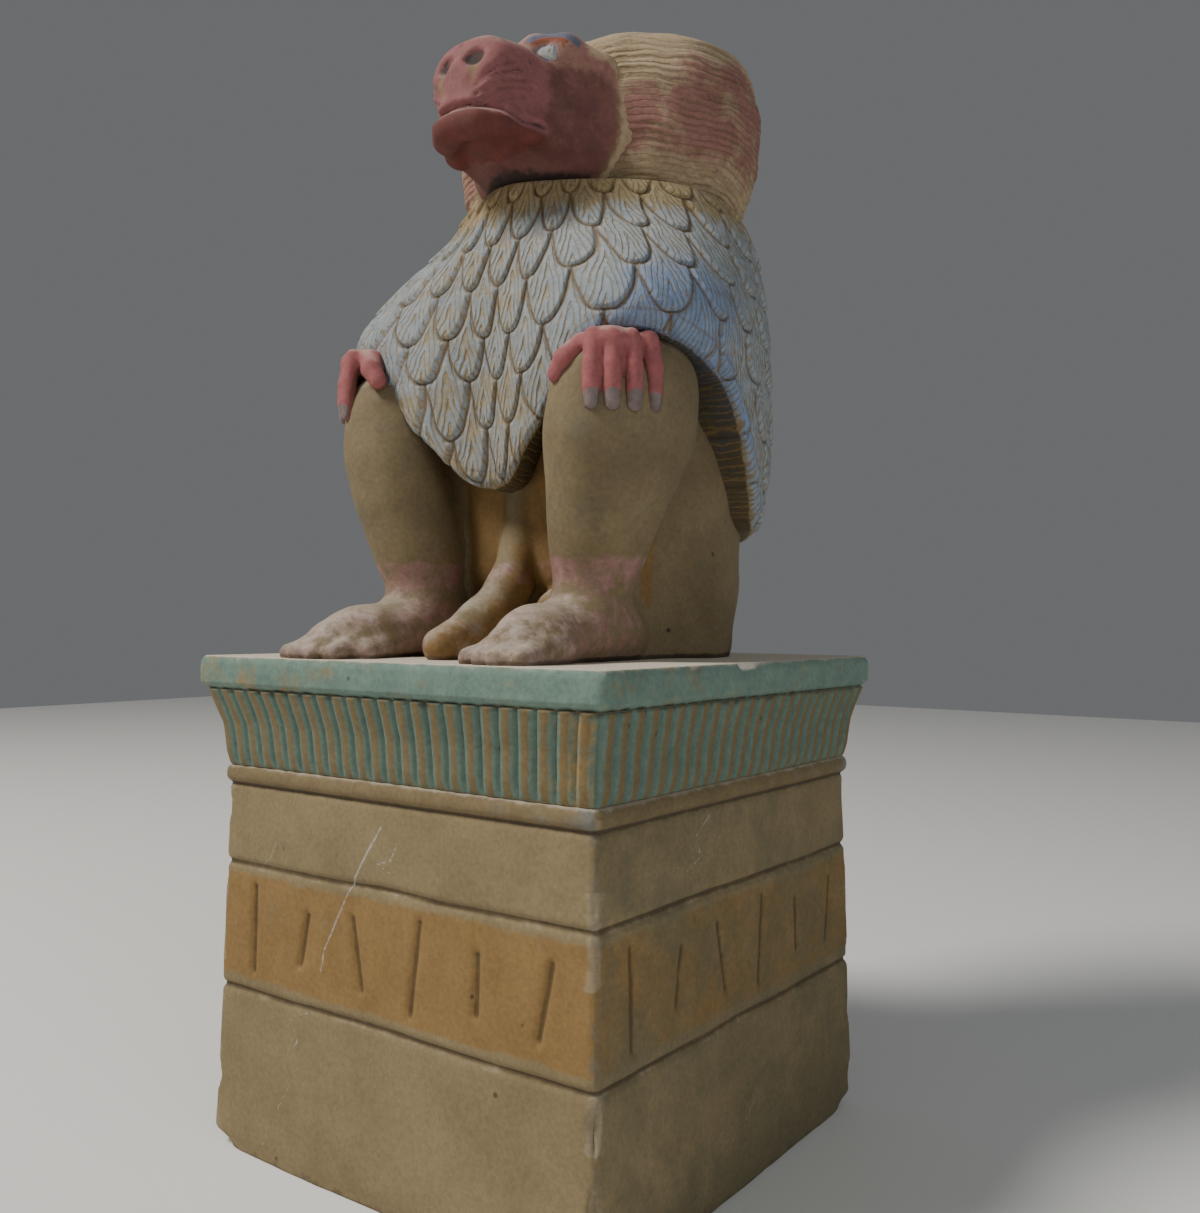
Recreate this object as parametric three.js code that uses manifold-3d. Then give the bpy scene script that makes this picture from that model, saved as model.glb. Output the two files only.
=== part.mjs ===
// A baboon seated on a fluted plinth, cast in plaster and painted.
// Millimetres, +Z up, the face looks along -Y and the origin is under the middle of the plinth.

import * as THREE from 'three';
import { mergeVertices } from 'three/addons/utils/BufferGeometryUtils.js';
import Module from 'manifold-3d';

const wasm = await Module();
wasm.setup();

// Plinth, from the top down
const SLAB_WIDTH = 120;
const SLAB_THICKNESS = 7.75;
const SLAB_EDGE_WEAR = 1.6;
const FLUTED_HEIGHT = 18.25;
const FLUTES_PER_FACE = 24;
const FLUTE_RELIEF = 1.2;
const FLUTED_SWELL = 1.8;
const FLUTED_BEND = 0.55;
const SLAB_OVERHANG = 1;
const ROLL_HEIGHT = 4.5;
const ROLL_RELIEF = 1.4;
const BLOCK_HEIGHT = 86;
const BLOCK_TOP_WIDTH = 110;
const BLOCK_FOOT_WIDTH = 114;
const CORNER_WEAR = 1.8;
const FOOT_CORNER_WEAR = 4.5;
const FOOT_EDGE_WEAR = 1;
const LINE_DEPTH = 0.9;
const LINE_WIDTH = 2;
const UPPER_LINE_DROP = 18.5;
const LOWER_LINE_DROP = 48;

// Rows of shallow strokes between the two lines
const STROKES_PER_FACE = 6;
const STROKE_WIDTH = 2.4;
const STROKE_MARGIN = 12;
const STROKE_SHARES = [0.66, 0.4, 0.52];
const STROKE_SLANTS = [0, 12, -12, 6];

// Figure: its forms are drawn for this height and scaled to its own
const FIGURE_HEIGHT = 160;
const DRAWN_HEIGHT = 160;

// Mantle: radii round an upright axis, from the front (0 degrees) by the side (90) to the back
const MANTLE_AXIS_Y = 8;
const MANTLE_TURNS = [0, 28, 55, 90, 126, 155, 180];
const MANTLE_LEVELS = [30, 50, 66, 80, 92, 107, 118];
const MANTLE_RADII = [
  [30, 40, 54, 49, 48, 46, 44],
  [32, 41, 54, 51, 50, 47.5, 45],
  [33, 43, 54, 51, 50.5, 48, 46],
  [34, 41, 55, 51, 50, 48, 46],
  [32, 37, 46, 47, 49, 47, 45],
  [28, 28, 31, 39, 46, 46, 44],
  [25, 23, 25, 33, 40, 41, 39],
];
const HEM_TURNS = [0, 15, 25, 34, 44, 55, 64, 72, 90, 97, 104, 112, 130, 180];
const HEM_LEVELS = [40, 43, 50, 59, 70, 75, 74, 71, 62, 53, 42, 33, 30, 30];
const HEM_ROOF = 62;
const HEM_INSET = 0.75;
const HEM_SIDES = 30;
const HEM_REACH = 90;
const HEM_DROP = 10;
const FEATHERS_AROUND = 24;
const FEATHER_ROWS = 7;
const FEATHER_PITCH = 11.2;
const FEATHER_TONGUE = 7;
const FEATHER_LIFT = 1.5;
const FEATHER_TOP_LEVEL = 108.8;
const COLLAR_SLOPE = 10;

// Mane: a squared dome combed in level grooves
const MANE_CENTRE = [0, 23, 133];
const MANE_HALF = [41.5, 28.5, 26];
const MANE_SQUARENESS = 2.5;
const MANE_LOCKS = 5;
const MANE_GROOVE = 1.1;
const MANE_SIDES = 18;
const MANE_FLOOR = 111;
const MANE_UNDERCUT = 0.8;
const LOBE_DROP = 5;

// Muzzle: squared sections from the lips back to the skull, as y, half width, underside, top
const MUZZLE = [
  [-36, 5, 125, 135],
  [-35, 8, 123, 138.5],
  [-32.5, 10.3, 121.2, 142.2],
  [-28, 12.4, 118.6, 143.6],
  [-20, 14.2, 114, 144.8],
  [-12, 17, 109, 146.5],
  [0, 21, 105.5, 149],
  [12, 22, 106, 150],
];
const MUZZLE_SQUARENESS = 2.6;
const MUZZLE_SIDES = 14;

const k = FIGURE_HEIGHT / DRAWN_HEIGHT;
const PLINTH_HEIGHT = SLAB_THICKNESS + FLUTED_HEIGHT + ROLL_HEIGHT + BLOCK_HEIGHT;

// Solids

function solid(geometry) {
  geometry.deleteAttribute('normal');
  geometry.deleteAttribute('uv');
  const merged = mergeVertices(geometry);
  const vertProperties = Float32Array.from(merged.getAttribute('position').array);
  const triVerts = Uint32Array.from(merged.getIndex().array);
  return new wasm.Manifold(new wasm.Mesh({ numProp: 3, vertProperties, triVerts }));
}

function joined(solids) {
  return solids.reduce((whole, piece) => whole.add(piece));
}

// Corners that a cut leaves closer than this are welded, and the triangles that close up go
const WELD = 0.002;

function geometryOf(manifold) {
  const mesh = manifold.getMesh();
  const geometry = new THREE.BufferGeometry();
  geometry.setAttribute('position', new THREE.BufferAttribute(mesh.vertProperties, mesh.numProp));
  geometry.setIndex(new THREE.BufferAttribute(mesh.triVerts, 1));
  const welded = mergeVertices(geometry, WELD);
  const corners = welded.getIndex().array;
  const kept = [];
  for (let at = 0; at < corners.length; at += 3) {
    const [a, b, c] = corners.slice(at, at + 3);
    if (a !== b && b !== c && c !== a) {
      kept.push(a, b, c);
    }
  }
  welded.setIndex(kept);
  welded.computeVertexNormals();
  return welded;
}

// A closed skin over rings listed from the foot up, each counter-clockwise seen from the crown
function loft(rings, foot, crown) {
  const around = rings[0].length;
  const last = rings.length + 1;
  const geometry = new THREE.SphereGeometry(1, around, last);
  const position = geometry.getAttribute('position');
  for (let row = 0; row <= last; row++) {
    for (let turn = 0; turn <= around; turn++) {
      const ring = rings[last - 1 - row];
      const inner = row === 0 ? crown : foot;
      const point = row === 0 || row === last ? inner : ring[turn % around];
      position.setXYZ(row * (around + 1) + turn, point.x, point.y, point.z);
    }
  }
  return solid(geometry);
}

function middle(ring) {
  const sum = ring.reduce((total, point) => total.add(point), new THREE.Vector3());
  return sum.divideScalar(ring.length);
}

function capped(rings) {
  return loft(rings, middle(rings[0]), middle(rings[rings.length - 1]));
}

// A limb through stations of [x, y, z, radius], its rings square to its run.
// A round end has one ring more than a blunt one.
const CAP_REACH = 0.62;
const CAP_WIDTH = 0.74;
const BLUNT_REACH = 0.7;
const ALONG_X = new THREE.Vector3(1, 0, 0);
const UPRIGHT = new THREE.Vector3(0, 0, 1);

function limb(stations, sides, { flatness = 1, across = ALONG_X, round = false } = {}) {
  const centres = stations.map(([x, y, z]) => new THREE.Vector3(x, y, z).multiplyScalar(k));
  const radii = stations.map((station) => station[3] * k);
  const end = centres.length - 1;
  const runs = centres.map((_, at) => {
    const ahead = centres[Math.min(at + 1, end)];
    return ahead.clone().sub(centres[Math.max(at - 1, 0)]).normalize();
  });
  const ringAt = (centre, run, radius) => {
    const side = across.clone().addScaledVector(run, -across.dot(run)).normalize();
    const up = run.clone().cross(side);
    return Array.from({ length: sides }, (_, at) => {
      const turn = (2 * Math.PI * (at + 0.5)) / sides;
      const point = centre.clone().addScaledVector(side, radius * Math.cos(turn));
      return point.addScaledVector(up, radius * flatness * Math.sin(turn));
    });
  };
  const reach = (at, share) => centres[at].clone().addScaledVector(runs[at], share * radii[at]);
  const rings = centres.map((centre, at) => ringAt(centre, runs[at], radii[at]));
  if (round) {
    rings.unshift(ringAt(reach(0, -CAP_REACH), runs[0], radii[0] * CAP_WIDTH));
    rings.push(ringAt(reach(end, CAP_REACH), runs[end], radii[end] * CAP_WIDTH));
    return loft(rings, reach(0, -1), reach(end, 1));
  }
  return loft(rings, reach(0, -BLUNT_REACH), reach(end, BLUNT_REACH));
}

function mirrored(stations, side) {
  return stations.map(([x, ...rest]) => [side * x, ...rest]);
}

function bead([x, y, z], radii, sides, rows) {
  const geometry = new THREE.SphereGeometry(1, sides, rows);
  geometry.rotateX(Math.PI / 2);
  geometry.scale(radii[0] * k, radii[1] * k, radii[2] * k);
  geometry.translate(x * k, y * k, z * k);
  return solid(geometry);
}

function between(value, places, values) {
  const end = places.length - 1;
  const clamped = THREE.MathUtils.clamp(value, places[0], places[end]);
  const at = Math.min(places.findLastIndex((place) => place <= clamped), end - 1);
  const share = (clamped - places[at]) / (places[at + 1] - places[at]);
  const eased = (share + THREE.MathUtils.smoothstep(share, 0, 1)) / 2;
  return THREE.MathUtils.lerp(values[at], values[at + 1], eased);
}

// Mantle

function mantleRadius(turn, level) {
  const columns = MANTLE_TURNS.map((_, column) =>
    between(level, MANTLE_LEVELS, MANTLE_RADII.map((row) => row[column])));
  return between(turn, MANTLE_TURNS, columns);
}

function mantlePoint(turn, level, lift) {
  const folded = turn > 180 ? 360 - turn : turn;
  const radius = mantleRadius(folded, level) + lift;
  const angle = THREE.MathUtils.degToRad(turn);
  const point = new THREE.Vector3(radius * Math.sin(angle), MANTLE_AXIS_Y - radius * Math.cos(angle), level);
  return point.multiplyScalar(k);
}

// Three corners to a feather, in order round the mantle: the notch between two tongues is high
// and both ends of a tongue's tip are low. Every other row is half a feather further round.
const STRAIGHT_CORNERS = [[0, 1], [0.3, 0], [0.7, 0]];
const STAGGERED_CORNERS = [[0.2, 0], [0.5, 1], [0.8, 0]];

function featherRow(row) {
  const corners = row % 2 ? STAGGERED_CORNERS : STRAIGHT_CORNERS;
  const tip = FEATHER_TOP_LEVEL - row * FEATHER_PITCH;
  const edgeAt = (lift) => Array.from({ length: FEATHERS_AROUND }, (_, feather) =>
    corners.map(([share, rise]) =>
      mantlePoint((360 * (feather + share)) / FEATHERS_AROUND, tip + rise * FEATHER_TONGUE, lift))).flat();
  return [edgeAt(0), edgeAt(FEATHER_LIFT)];
}

// What is cut away under the hem: flat out from the mantle, and up to a roof inside it
function belowHem() {
  const turns = Array.from({ length: HEM_SIDES }, (_, at) => (360 * at) / HEM_SIDES);
  const ring = (radiusOf, levelOf) => turns.map((turn) => {
    const angle = THREE.MathUtils.degToRad(turn);
    const folded = Math.min(turn, 360 - turn);
    const radius = radiusOf(folded);
    const point = new THREE.Vector3(
      radius * Math.sin(angle), MANTLE_AXIS_Y - radius * Math.cos(angle), levelOf(folded));
    return point.multiplyScalar(k);
  });
  const hem = (turn) => between(turn, HEM_TURNS, HEM_LEVELS);
  const inside = (turn) => HEM_INSET * mantleRadius(turn, hem(turn));
  const floor = ring(() => HEM_REACH, () => -HEM_DROP);
  const outer = ring(() => HEM_REACH, hem);
  const inner = ring(inside, hem);
  const axis = (level) => new THREE.Vector3(0, MANTLE_AXIS_Y, level).multiplyScalar(k);
  return loft([floor, outer, inner], axis(-HEM_DROP), axis(HEM_ROOF));
}

function mantle() {
  const rings = [];
  for (let row = FEATHER_ROWS - 1; row >= 0; row--) {
    rings.push(...featherRow(row));
  }
  const collarAt = (level, lift) => rings[0].map((_, at, ring) =>
    mantlePoint((360 * at) / ring.length, level, lift));
  const top = FEATHER_TOP_LEVEL + FEATHER_TONGUE + COLLAR_SLOPE / 4;
  rings.push(collarAt(top, -COLLAR_SLOPE / 4), collarAt(top + COLLAR_SLOPE / 2, -COLLAR_SLOPE));
  return capped(rings).subtract(belowHem());
}

// Mane

function mane() {
  const [cx, cy, cz] = MANE_CENTRE;
  const [halfWidth, halfDepth, halfHeight] = MANE_HALF;
  const rowsUp = 2 * MANE_LOCKS;
  const rings = [];
  for (let row = 0; row < rowsUp; row++) {
    const share = row / rowsUp;
    const level = THREE.MathUtils.lerp(MANE_FLOOR, cz + halfHeight, Math.sin((share * Math.PI) / 2));
    const rise = Math.max(level - cz, MANE_UNDERCUT * (cz - level)) / halfHeight;
    const swell = (1 - rise ** MANE_SQUARENESS) ** (1 / MANE_SQUARENESS);
    const groove = row % 2 ? -MANE_GROOVE : 0;
    rings.push(Array.from({ length: MANE_SIDES }, (_, at) => {
      const angle = (2 * Math.PI * (at + 0.5)) / MANE_SIDES;
      const squared = (Math.abs(Math.sin(angle)) ** MANE_SQUARENESS
        + Math.abs(Math.cos(angle)) ** MANE_SQUARENESS) ** (-1 / MANE_SQUARENESS);
      const x = cx + (halfWidth * swell + groove) * squared * Math.sin(angle);
      const y = cy - (halfDepth * swell + groove) * squared * Math.cos(angle);
      const lobe = row === 0 ? LOBE_DROP * Math.max(0, Math.sin(angle) ** 2 * Math.cos(angle)) : 0;
      return new THREE.Vector3(x, y, level - lobe).multiplyScalar(k);
    }));
  }
  return capped(rings);
}

// Head

const EYE = [11.8, -13, 142.6];
const EYE_HALF = [5, 4.6, 3.4];
const SKULL = [0, -1, 138];
const SKULL_HALF = [19.5, 16, 12];
const BROW = [[1.5, -16, 142.8, 2.6], [7, -15.5, 144.9, 2.8], [13, -11.5, 144.9, 2.9], [18.5, -5, 142, 3]];
const LOWER_LIP = [[13.6, -14, 122, 2.2], [11.6, -22, 122, 2.6], [8.9, -28.8, 121.8, 3], [5, -32.2, 121.6, 3.2],
  [0, -33.2, 121.5, 3.2]];
const MOUTH = [[15.6, -13, 120.5, 0.9], [13.8, -20, 122, 0.9], [12.5, -26, 124.4, 0.9], [11, -30, 125.2, 0.9],
  [8.5, -33.4, 125.2, 0.9], [5, -35.6, 125, 0.9], [0, -36.6, 124.5, 0.9]];
const NOSTRIL = [[4.4, -32.8, 138.4, 1], [5, -34.8, 134, 1.2], [4.8, -35.6, 128, 0.9]];
const WRINKLES = 3;
const WRINKLE_SPACING = 4.2;
const WRINKLE_SETBACK = 0.25;
const WRINKLE = [[11, -31, 133, 0.7], [14.4, -18, 132, 0.7]];

function muzzle() {
  const rings = MUZZLE.map(([y, half, underside, top]) => {
    const centre = (underside + top) / 2;
    const rise = (top - underside) / 2;
    return Array.from({ length: MUZZLE_SIDES }, (_, at) => {
      const angle = (2 * Math.PI * at) / MUZZLE_SIDES;
      const squared = (Math.abs(Math.sin(angle)) ** MUZZLE_SQUARENESS
        + Math.abs(Math.cos(angle)) ** MUZZLE_SQUARENESS) ** (-1 / MUZZLE_SQUARENESS);
      const x = -half * squared * Math.sin(angle);
      const z = centre + rise * squared * Math.cos(angle);
      return new THREE.Vector3(x, y, z).multiplyScalar(k);
    });
  });
  return capped(rings.reverse());
}

function wholeArc(half) {
  const other = mirrored(half.slice(0, -1), -1).reverse();
  return [...half, ...other];
}

function head() {
  const skull = bead(SKULL, SKULL_HALF, 12, 6);
  let form = joined([muzzle(), skull, limb(wholeArc(LOWER_LIP), 6, { across: UPRIGHT })]);
  for (const side of [1, -1]) {
    form = form.add(limb(mirrored(BROW, side), 5, { across: UPRIGHT }));
    form = form.add(bead([side * EYE[0], EYE[1], EYE[2]], EYE_HALF, 8, 5));
    form = form.subtract(limb(mirrored(NOSTRIL, side), 3));
    for (let wrinkle = 0; wrinkle < WRINKLES; wrinkle++) {
      const drop = wrinkle * WRINKLE_SPACING;
      const line = WRINKLE.map(([x, y, z, radius]) =>
        [side * x, y + drop * WRINKLE_SETBACK, z - drop, radius]);
      form = form.subtract(limb(line, 3, { across: UPRIGHT }));
    }
  }
  return form.subtract(limb(wholeArc(MOUTH), 3, { across: UPRIGHT }));
}

// Legs, hands and haunches

const SHIN = [[33, -22.5, 60, 12], [32, -23, 50, 11], [31, -21.3, 38.7, 10.5], [28.3, -18.6, 27.4, 9.5],
  [26, -17.5, 14, 9.3], [26, -17.5, 6, 10]];
const CALF = [[37, -12, 58, 12.5], [37, -12.5, 50, 11.5], [34, -15, 39, 10], [30, -15.5, 27, 8.5]];
const THIGH = [[36, -14, 60, 12], [33, 2, 60, 12.5], [28, 16, 57, 14]];
const FOOT = [[26, -12, 5.5, 9.2], [26.3, -25, 6, 8.6], [27, -40, 4.2, 8.4], [28, -47, 2.2, 7.4]];
const FOOT_FLATNESS = 0.85;
const TOES = [
  [[21.8, -44, 3.6, 3.2], [20.8, -53.4, 2.3, 2.7]],
  [[25.8, -45, 3.8, 3.2], [25.8, -55, 2.3, 2.7]],
  [[30, -45, 3.8, 3.2], [30.7, -56, 2.3, 2.7]],
  [[33.8, -44, 3.4, 3], [35, -55, 2.2, 2.6]],
];
const BIG_TOE = [[19.5, -36, 2.6, 3], [17.5, -46, 2.2, 2.6]];
const FINGER_TURNS = [22, 38, 61, 86];
const KNEE_AXIS = [33, -22.5];
const KNUCKLE_REACH = 11.8;
const FINGER = [[-3, 68.5, 2.9], [0, 64, 2.7], [-0.3, 54.5, 2.3]];
const THUMB = [[32.6, -30.4, 68.6, 3], [27.5, -32.5, 62, 2.6]];
const BACK_OF_HAND = [[40.5, -16, 68.5, 7.5], [39.5, -26.5, 67, 6.5]];
const BACK_OF_HAND_FLATNESS = 0.75;
const FAR_HAND_LIFT = 5;
const HAUNCH = [[23, 23, 4, 14], [23.5, 23, 20, 13.8], [24, 22, 38, 15.5], [23, 19, 60, 16]];
const HAUNCH_DEPTH = 1.4;
// Stone left standing between each shin and its haunch
const WEB = [[24, -2, 0, 7], [25, -2, 58, 8]];
const WEB_DEPTH = 1.9;
const BELLY = [[0, 18, 2, 25], [0, 17, 30, 26], [0, 14, 62, 27]];
const MEMBER = [[0, -6, 46, 9], [0, -12, 24, 7.5], [0, -23, 10.5, 6.6], [0, -38, 4.5, 4.6]];
const BOSS = [11, -9, 8];
const BOSS_HALF = [7, 8, 9];

function leg(side) {
  return joined([
    limb(mirrored(SHIN, side), 8),
    limb(mirrored(CALF, side), 7),
    limb(mirrored(THIGH, side), 7),
    limb(mirrored(FOOT, side), 7, { flatness: FOOT_FLATNESS }),
    limb(mirrored(BIG_TOE, side), 4),
    ...TOES.map((toe) => limb(mirrored(toe, side), 4)),
  ]);
}

function hand(side) {
  const lift = side < 0 ? FAR_HAND_LIFT : 0;
  const raised = (stations) => mirrored(stations, side).map(([x, y, z, radius]) => [x, y, z + lift, radius]);
  const fingers = FINGER_TURNS.map((degrees) => {
    const turn = THREE.MathUtils.degToRad(degrees);
    const stations = FINGER.map(([out, level, radius]) => {
      const reach = KNUCKLE_REACH + out;
      return [KNEE_AXIS[0] + reach * Math.sin(turn), KNEE_AXIS[1] - reach * Math.cos(turn), level, radius];
    });
    return limb(raised(stations), 4);
  });
  const back = limb(raised(BACK_OF_HAND), 8, { flatness: BACK_OF_HAND_FLATNESS, round: true });
  return joined([back, limb(raised(THUMB), 4), ...fingers]);
}

function lowerBody() {
  const bosses = [1, -1].map((side) => bead([side * BOSS[0], BOSS[1], BOSS[2]], BOSS_HALF, 7, 5));
  const haunches = [1, -1].map((side) => limb(mirrored(HAUNCH, side), 9, { flatness: HAUNCH_DEPTH }));
  const webs = [1, -1].map((side) => limb(mirrored(WEB, side), 6, { flatness: WEB_DEPTH }));
  return joined([...haunches, ...webs, limb(BELLY, 8), limb(MEMBER, 8), ...bosses]);
}

function underSlab() {
  const size = 2 * FIGURE_HEIGHT;
  const geometry = new THREE.BoxGeometry(size, size, size);
  geometry.translate(0, 0, -size / 2);
  return solid(geometry);
}

function baboon() {
  const form = joined([
    lowerBody(), leg(1), leg(-1), mantle(), hand(1), hand(-1), mane(), head(),
  ]);
  return form.subtract(underSlab());
}

// Plinth

const QUARTERS = [0, 1, 2, 3];

// A square with cut corners, counter-clockwise seen from above
function squareRing(width, corner, level) {
  const half = width / 2;
  return QUARTERS.flatMap((quarter) => {
    const turned = (x, y) =>
      new THREE.Vector3(x, y, level).applyAxisAngle(new THREE.Vector3(0, 0, 1), (quarter * Math.PI) / 2);
    return [turned(-half + corner, -half), turned(half - corner, -half)];
  });
}

function block() {
  const top = BLOCK_HEIGHT;
  const widthAt = (level) => THREE.MathUtils.lerp(BLOCK_FOOT_WIDTH, BLOCK_TOP_WIDTH, level / top);
  const plain = (level) => squareRing(widthAt(level), CORNER_WEAR, level);
  const line = (drop) => [
    plain(top - drop - LINE_WIDTH / 2),
    squareRing(widthAt(top - drop) - 2 * LINE_DEPTH, CORNER_WEAR, top - drop),
    plain(top - drop + LINE_WIDTH / 2),
  ];
  return capped([
    squareRing(BLOCK_FOOT_WIDTH - 2 * FOOT_EDGE_WEAR, FOOT_CORNER_WEAR, 0),
    squareRing(widthAt(FOOT_CORNER_WEAR), FOOT_CORNER_WEAR / 2, FOOT_CORNER_WEAR),
    ...line(LOWER_LINE_DROP),
    ...line(UPPER_LINE_DROP),
    plain(top),
  ]);
}

// The half-round section of the roll, as shares of its height and of its relief
const ROLL_SECTION = [[0, -0.5], [0.2, 0.7], [0.5, 1], [0.8, 0.7], [1, -0.5]];

function roll() {
  const foot = BLOCK_HEIGHT;
  return capped(ROLL_SECTION.map(([share, swell]) =>
    squareRing(BLOCK_TOP_WIDTH + 2 * ROLL_RELIEF * swell, CORNER_WEAR, foot + share * ROLL_HEIGHT)));
}

// Ribs between the flutes: a groove and a crest for each, turned round the four faces
function fluteRing(width, level, relief) {
  const pitch = (width - 2 * CORNER_WEAR) / FLUTES_PER_FACE;
  const crests = [[0, 0], [0.5, relief]];
  return QUARTERS.flatMap((quarter) => {
    const turn = (quarter * Math.PI) / 2;
    const points = [];
    for (let rib = 0; rib < FLUTES_PER_FACE; rib++) {
      for (const [share, out] of crests) {
        const along = -width / 2 + CORNER_WEAR + (rib + share) * pitch;
        points.push(new THREE.Vector3(along, -width / 2 - out, level));
      }
    }
    points.push(new THREE.Vector3(width / 2 - CORNER_WEAR, -width / 2, level));
    return points.map((point) => point.applyAxisAngle(new THREE.Vector3(0, 0, 1), turn));
  });
}

function flutes() {
  const foot = BLOCK_HEIGHT + ROLL_HEIGHT;
  const ground = BLOCK_TOP_WIDTH;
  const flared = SLAB_WIDTH - 2 * (FLUTE_RELIEF + SLAB_OVERHANG);
  const bend = foot + FLUTED_HEIGHT * FLUTED_BEND;
  return capped([
    fluteRing(ground, foot, FLUTE_RELIEF),
    fluteRing(ground + FLUTED_SWELL, bend, FLUTE_RELIEF),
    fluteRing(flared, foot + FLUTED_HEIGHT, FLUTE_RELIEF),
  ]);
}

function slab() {
  const foot = PLINTH_HEIGHT - SLAB_THICKNESS;
  const worn = SLAB_WIDTH - 2 * SLAB_EDGE_WEAR;
  return capped([
    squareRing(worn, CORNER_WEAR, foot),
    squareRing(SLAB_WIDTH, 2 * CORNER_WEAR, foot + SLAB_EDGE_WEAR),
    squareRing(SLAB_WIDTH, 2 * CORNER_WEAR, PLINTH_HEIGHT - SLAB_EDGE_WEAR),
    squareRing(worn, 2 * CORNER_WEAR, PLINTH_HEIGHT),
  ]);
}

function strokes() {
  const upper = BLOCK_HEIGHT - UPPER_LINE_DROP;
  const lower = BLOCK_HEIGHT - LOWER_LINE_DROP;
  const level = (upper + lower) / 2;
  const face = THREE.MathUtils.lerp(BLOCK_FOOT_WIDTH, BLOCK_TOP_WIDTH, level / BLOCK_HEIGHT) / 2;
  const lean = Math.atan2((BLOCK_FOOT_WIDTH - BLOCK_TOP_WIDTH) / 2, BLOCK_HEIGHT);
  const run = 2 * face - 2 * STROKE_MARGIN;
  const cuts = [];
  for (const quarter of QUARTERS) {
    for (let stroke = 0; stroke < STROKES_PER_FACE; stroke++) {
      const length = (upper - lower) * STROKE_SHARES[stroke % STROKE_SHARES.length];
      const slant = THREE.MathUtils.degToRad(STROKE_SLANTS[stroke % STROKE_SLANTS.length]);
      const geometry = new THREE.CylinderGeometry(STROKE_WIDTH / 2, STROKE_WIDTH / 2, length, 4);
      geometry.rotateX(Math.PI / 2);
      geometry.rotateY(slant);
      geometry.rotateX(-lean);
      geometry.translate(-run / 2 + (run * stroke) / (STROKES_PER_FACE - 1), -face, level);
      geometry.rotateZ((quarter * Math.PI) / 2);
      cuts.push(solid(geometry));
    }
  }
  return joined(cuts);
}

function plinth() {
  return joined([block(), roll(), flutes(), slab()]).subtract(strokes());
}

// The scene graph

const statuette = new THREE.Group();

const stone = new THREE.MeshStandardMaterial({ color: 0xb59a6e, roughness: 0.9, metalness: 0 });
const plinthMesh = new THREE.Mesh(geometryOf(plinth()), stone);
plinthMesh.name = 'plinth';
statuette.add(plinthMesh);

const paintedStone = new THREE.MeshStandardMaterial({ color: 0xa8a08c, roughness: 0.9, metalness: 0 });
const baboonMesh = new THREE.Mesh(geometryOf(baboon()), paintedStone);
baboonMesh.name = 'baboon';
baboonMesh.position.z = PLINTH_HEIGHT;
statuette.add(baboonMesh);

export default statuette;
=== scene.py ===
"""A painted plaster baboon on a fluted plinth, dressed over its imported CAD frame.

Sizes are worked out in millimetres, with the figure's own level 0 on top of the slab,
and each finished mesh is scaled to metres in the frame's own axes.
"""

import itertools
import math

import bmesh
import bpy
import numpy as np
from mathutils import Matrix, Vector


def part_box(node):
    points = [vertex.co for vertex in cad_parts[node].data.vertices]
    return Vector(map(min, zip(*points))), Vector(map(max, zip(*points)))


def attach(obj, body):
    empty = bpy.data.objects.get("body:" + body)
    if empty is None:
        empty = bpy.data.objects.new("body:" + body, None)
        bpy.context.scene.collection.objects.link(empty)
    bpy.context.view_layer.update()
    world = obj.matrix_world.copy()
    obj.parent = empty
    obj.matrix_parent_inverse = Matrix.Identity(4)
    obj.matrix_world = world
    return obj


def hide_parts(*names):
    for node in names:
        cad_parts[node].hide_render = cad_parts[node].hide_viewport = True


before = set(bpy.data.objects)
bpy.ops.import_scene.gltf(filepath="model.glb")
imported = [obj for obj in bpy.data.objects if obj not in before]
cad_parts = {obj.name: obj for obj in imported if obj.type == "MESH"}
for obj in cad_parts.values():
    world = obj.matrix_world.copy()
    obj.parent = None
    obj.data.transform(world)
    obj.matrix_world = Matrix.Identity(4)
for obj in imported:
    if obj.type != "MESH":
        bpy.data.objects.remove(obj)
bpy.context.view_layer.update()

MM = 0.001
SLAB_TOP = np.array(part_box("plinth")[1])[2] / MM


# Camera, placed as the photograph's: a low, near view of the front and the left side

LENS = 34.19
SENSOR = 36
CAMERA_PLACE = (181.3, -227.2, 9.1)
CAMERA_YAW = 36.11
CAMERA_PITCH = 0.66
CAMERA_ROLL = 0.35


def place_camera():
    yaw, pitch, roll = (math.radians(a) for a in (CAMERA_YAW, CAMERA_PITCH, CAMERA_ROLL))
    ahead = Vector((-math.sin(yaw) * math.cos(pitch), math.cos(yaw) * math.cos(pitch), math.sin(pitch)))
    level = Vector((math.cos(yaw), math.sin(yaw), 0))
    above = level.cross(ahead)
    right = level * math.cos(roll) + above * math.sin(roll)
    up = above * math.cos(roll) - level * math.sin(roll)
    turn = Matrix((right, up, -ahead)).transposed().to_4x4()
    camera = bpy.data.objects.new("camera", bpy.data.cameras.new("camera"))
    camera.data.lens = LENS
    camera.data.sensor_fit = "VERTICAL"
    camera.data.sensor_height = SENSOR
    camera.data.clip_start = 0.01
    x, y, z = CAMERA_PLACE
    camera.matrix_world = Matrix.Translation(Vector((x, y, z + SLAB_TOP)) * MM) @ turn
    bpy.context.scene.collection.objects.link(camera)
    bpy.context.scene.camera = camera


# Distances to forms, in millimetres: points are an array of rows, and inside is below 0

FAR_AWAY = 9.0


def length(rows):
    return np.sqrt((rows * rows).sum(-1))


def folded(points):
    """Both halves of the figure on its left side"""
    return np.stack([np.abs(points[:, 0]), points[:, 1], points[:, 2]], -1)


def ease(value, low, high):
    share = np.clip((value - low) / (high - low), 0, 1)
    return share * share * (3 - 2 * share)


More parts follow.
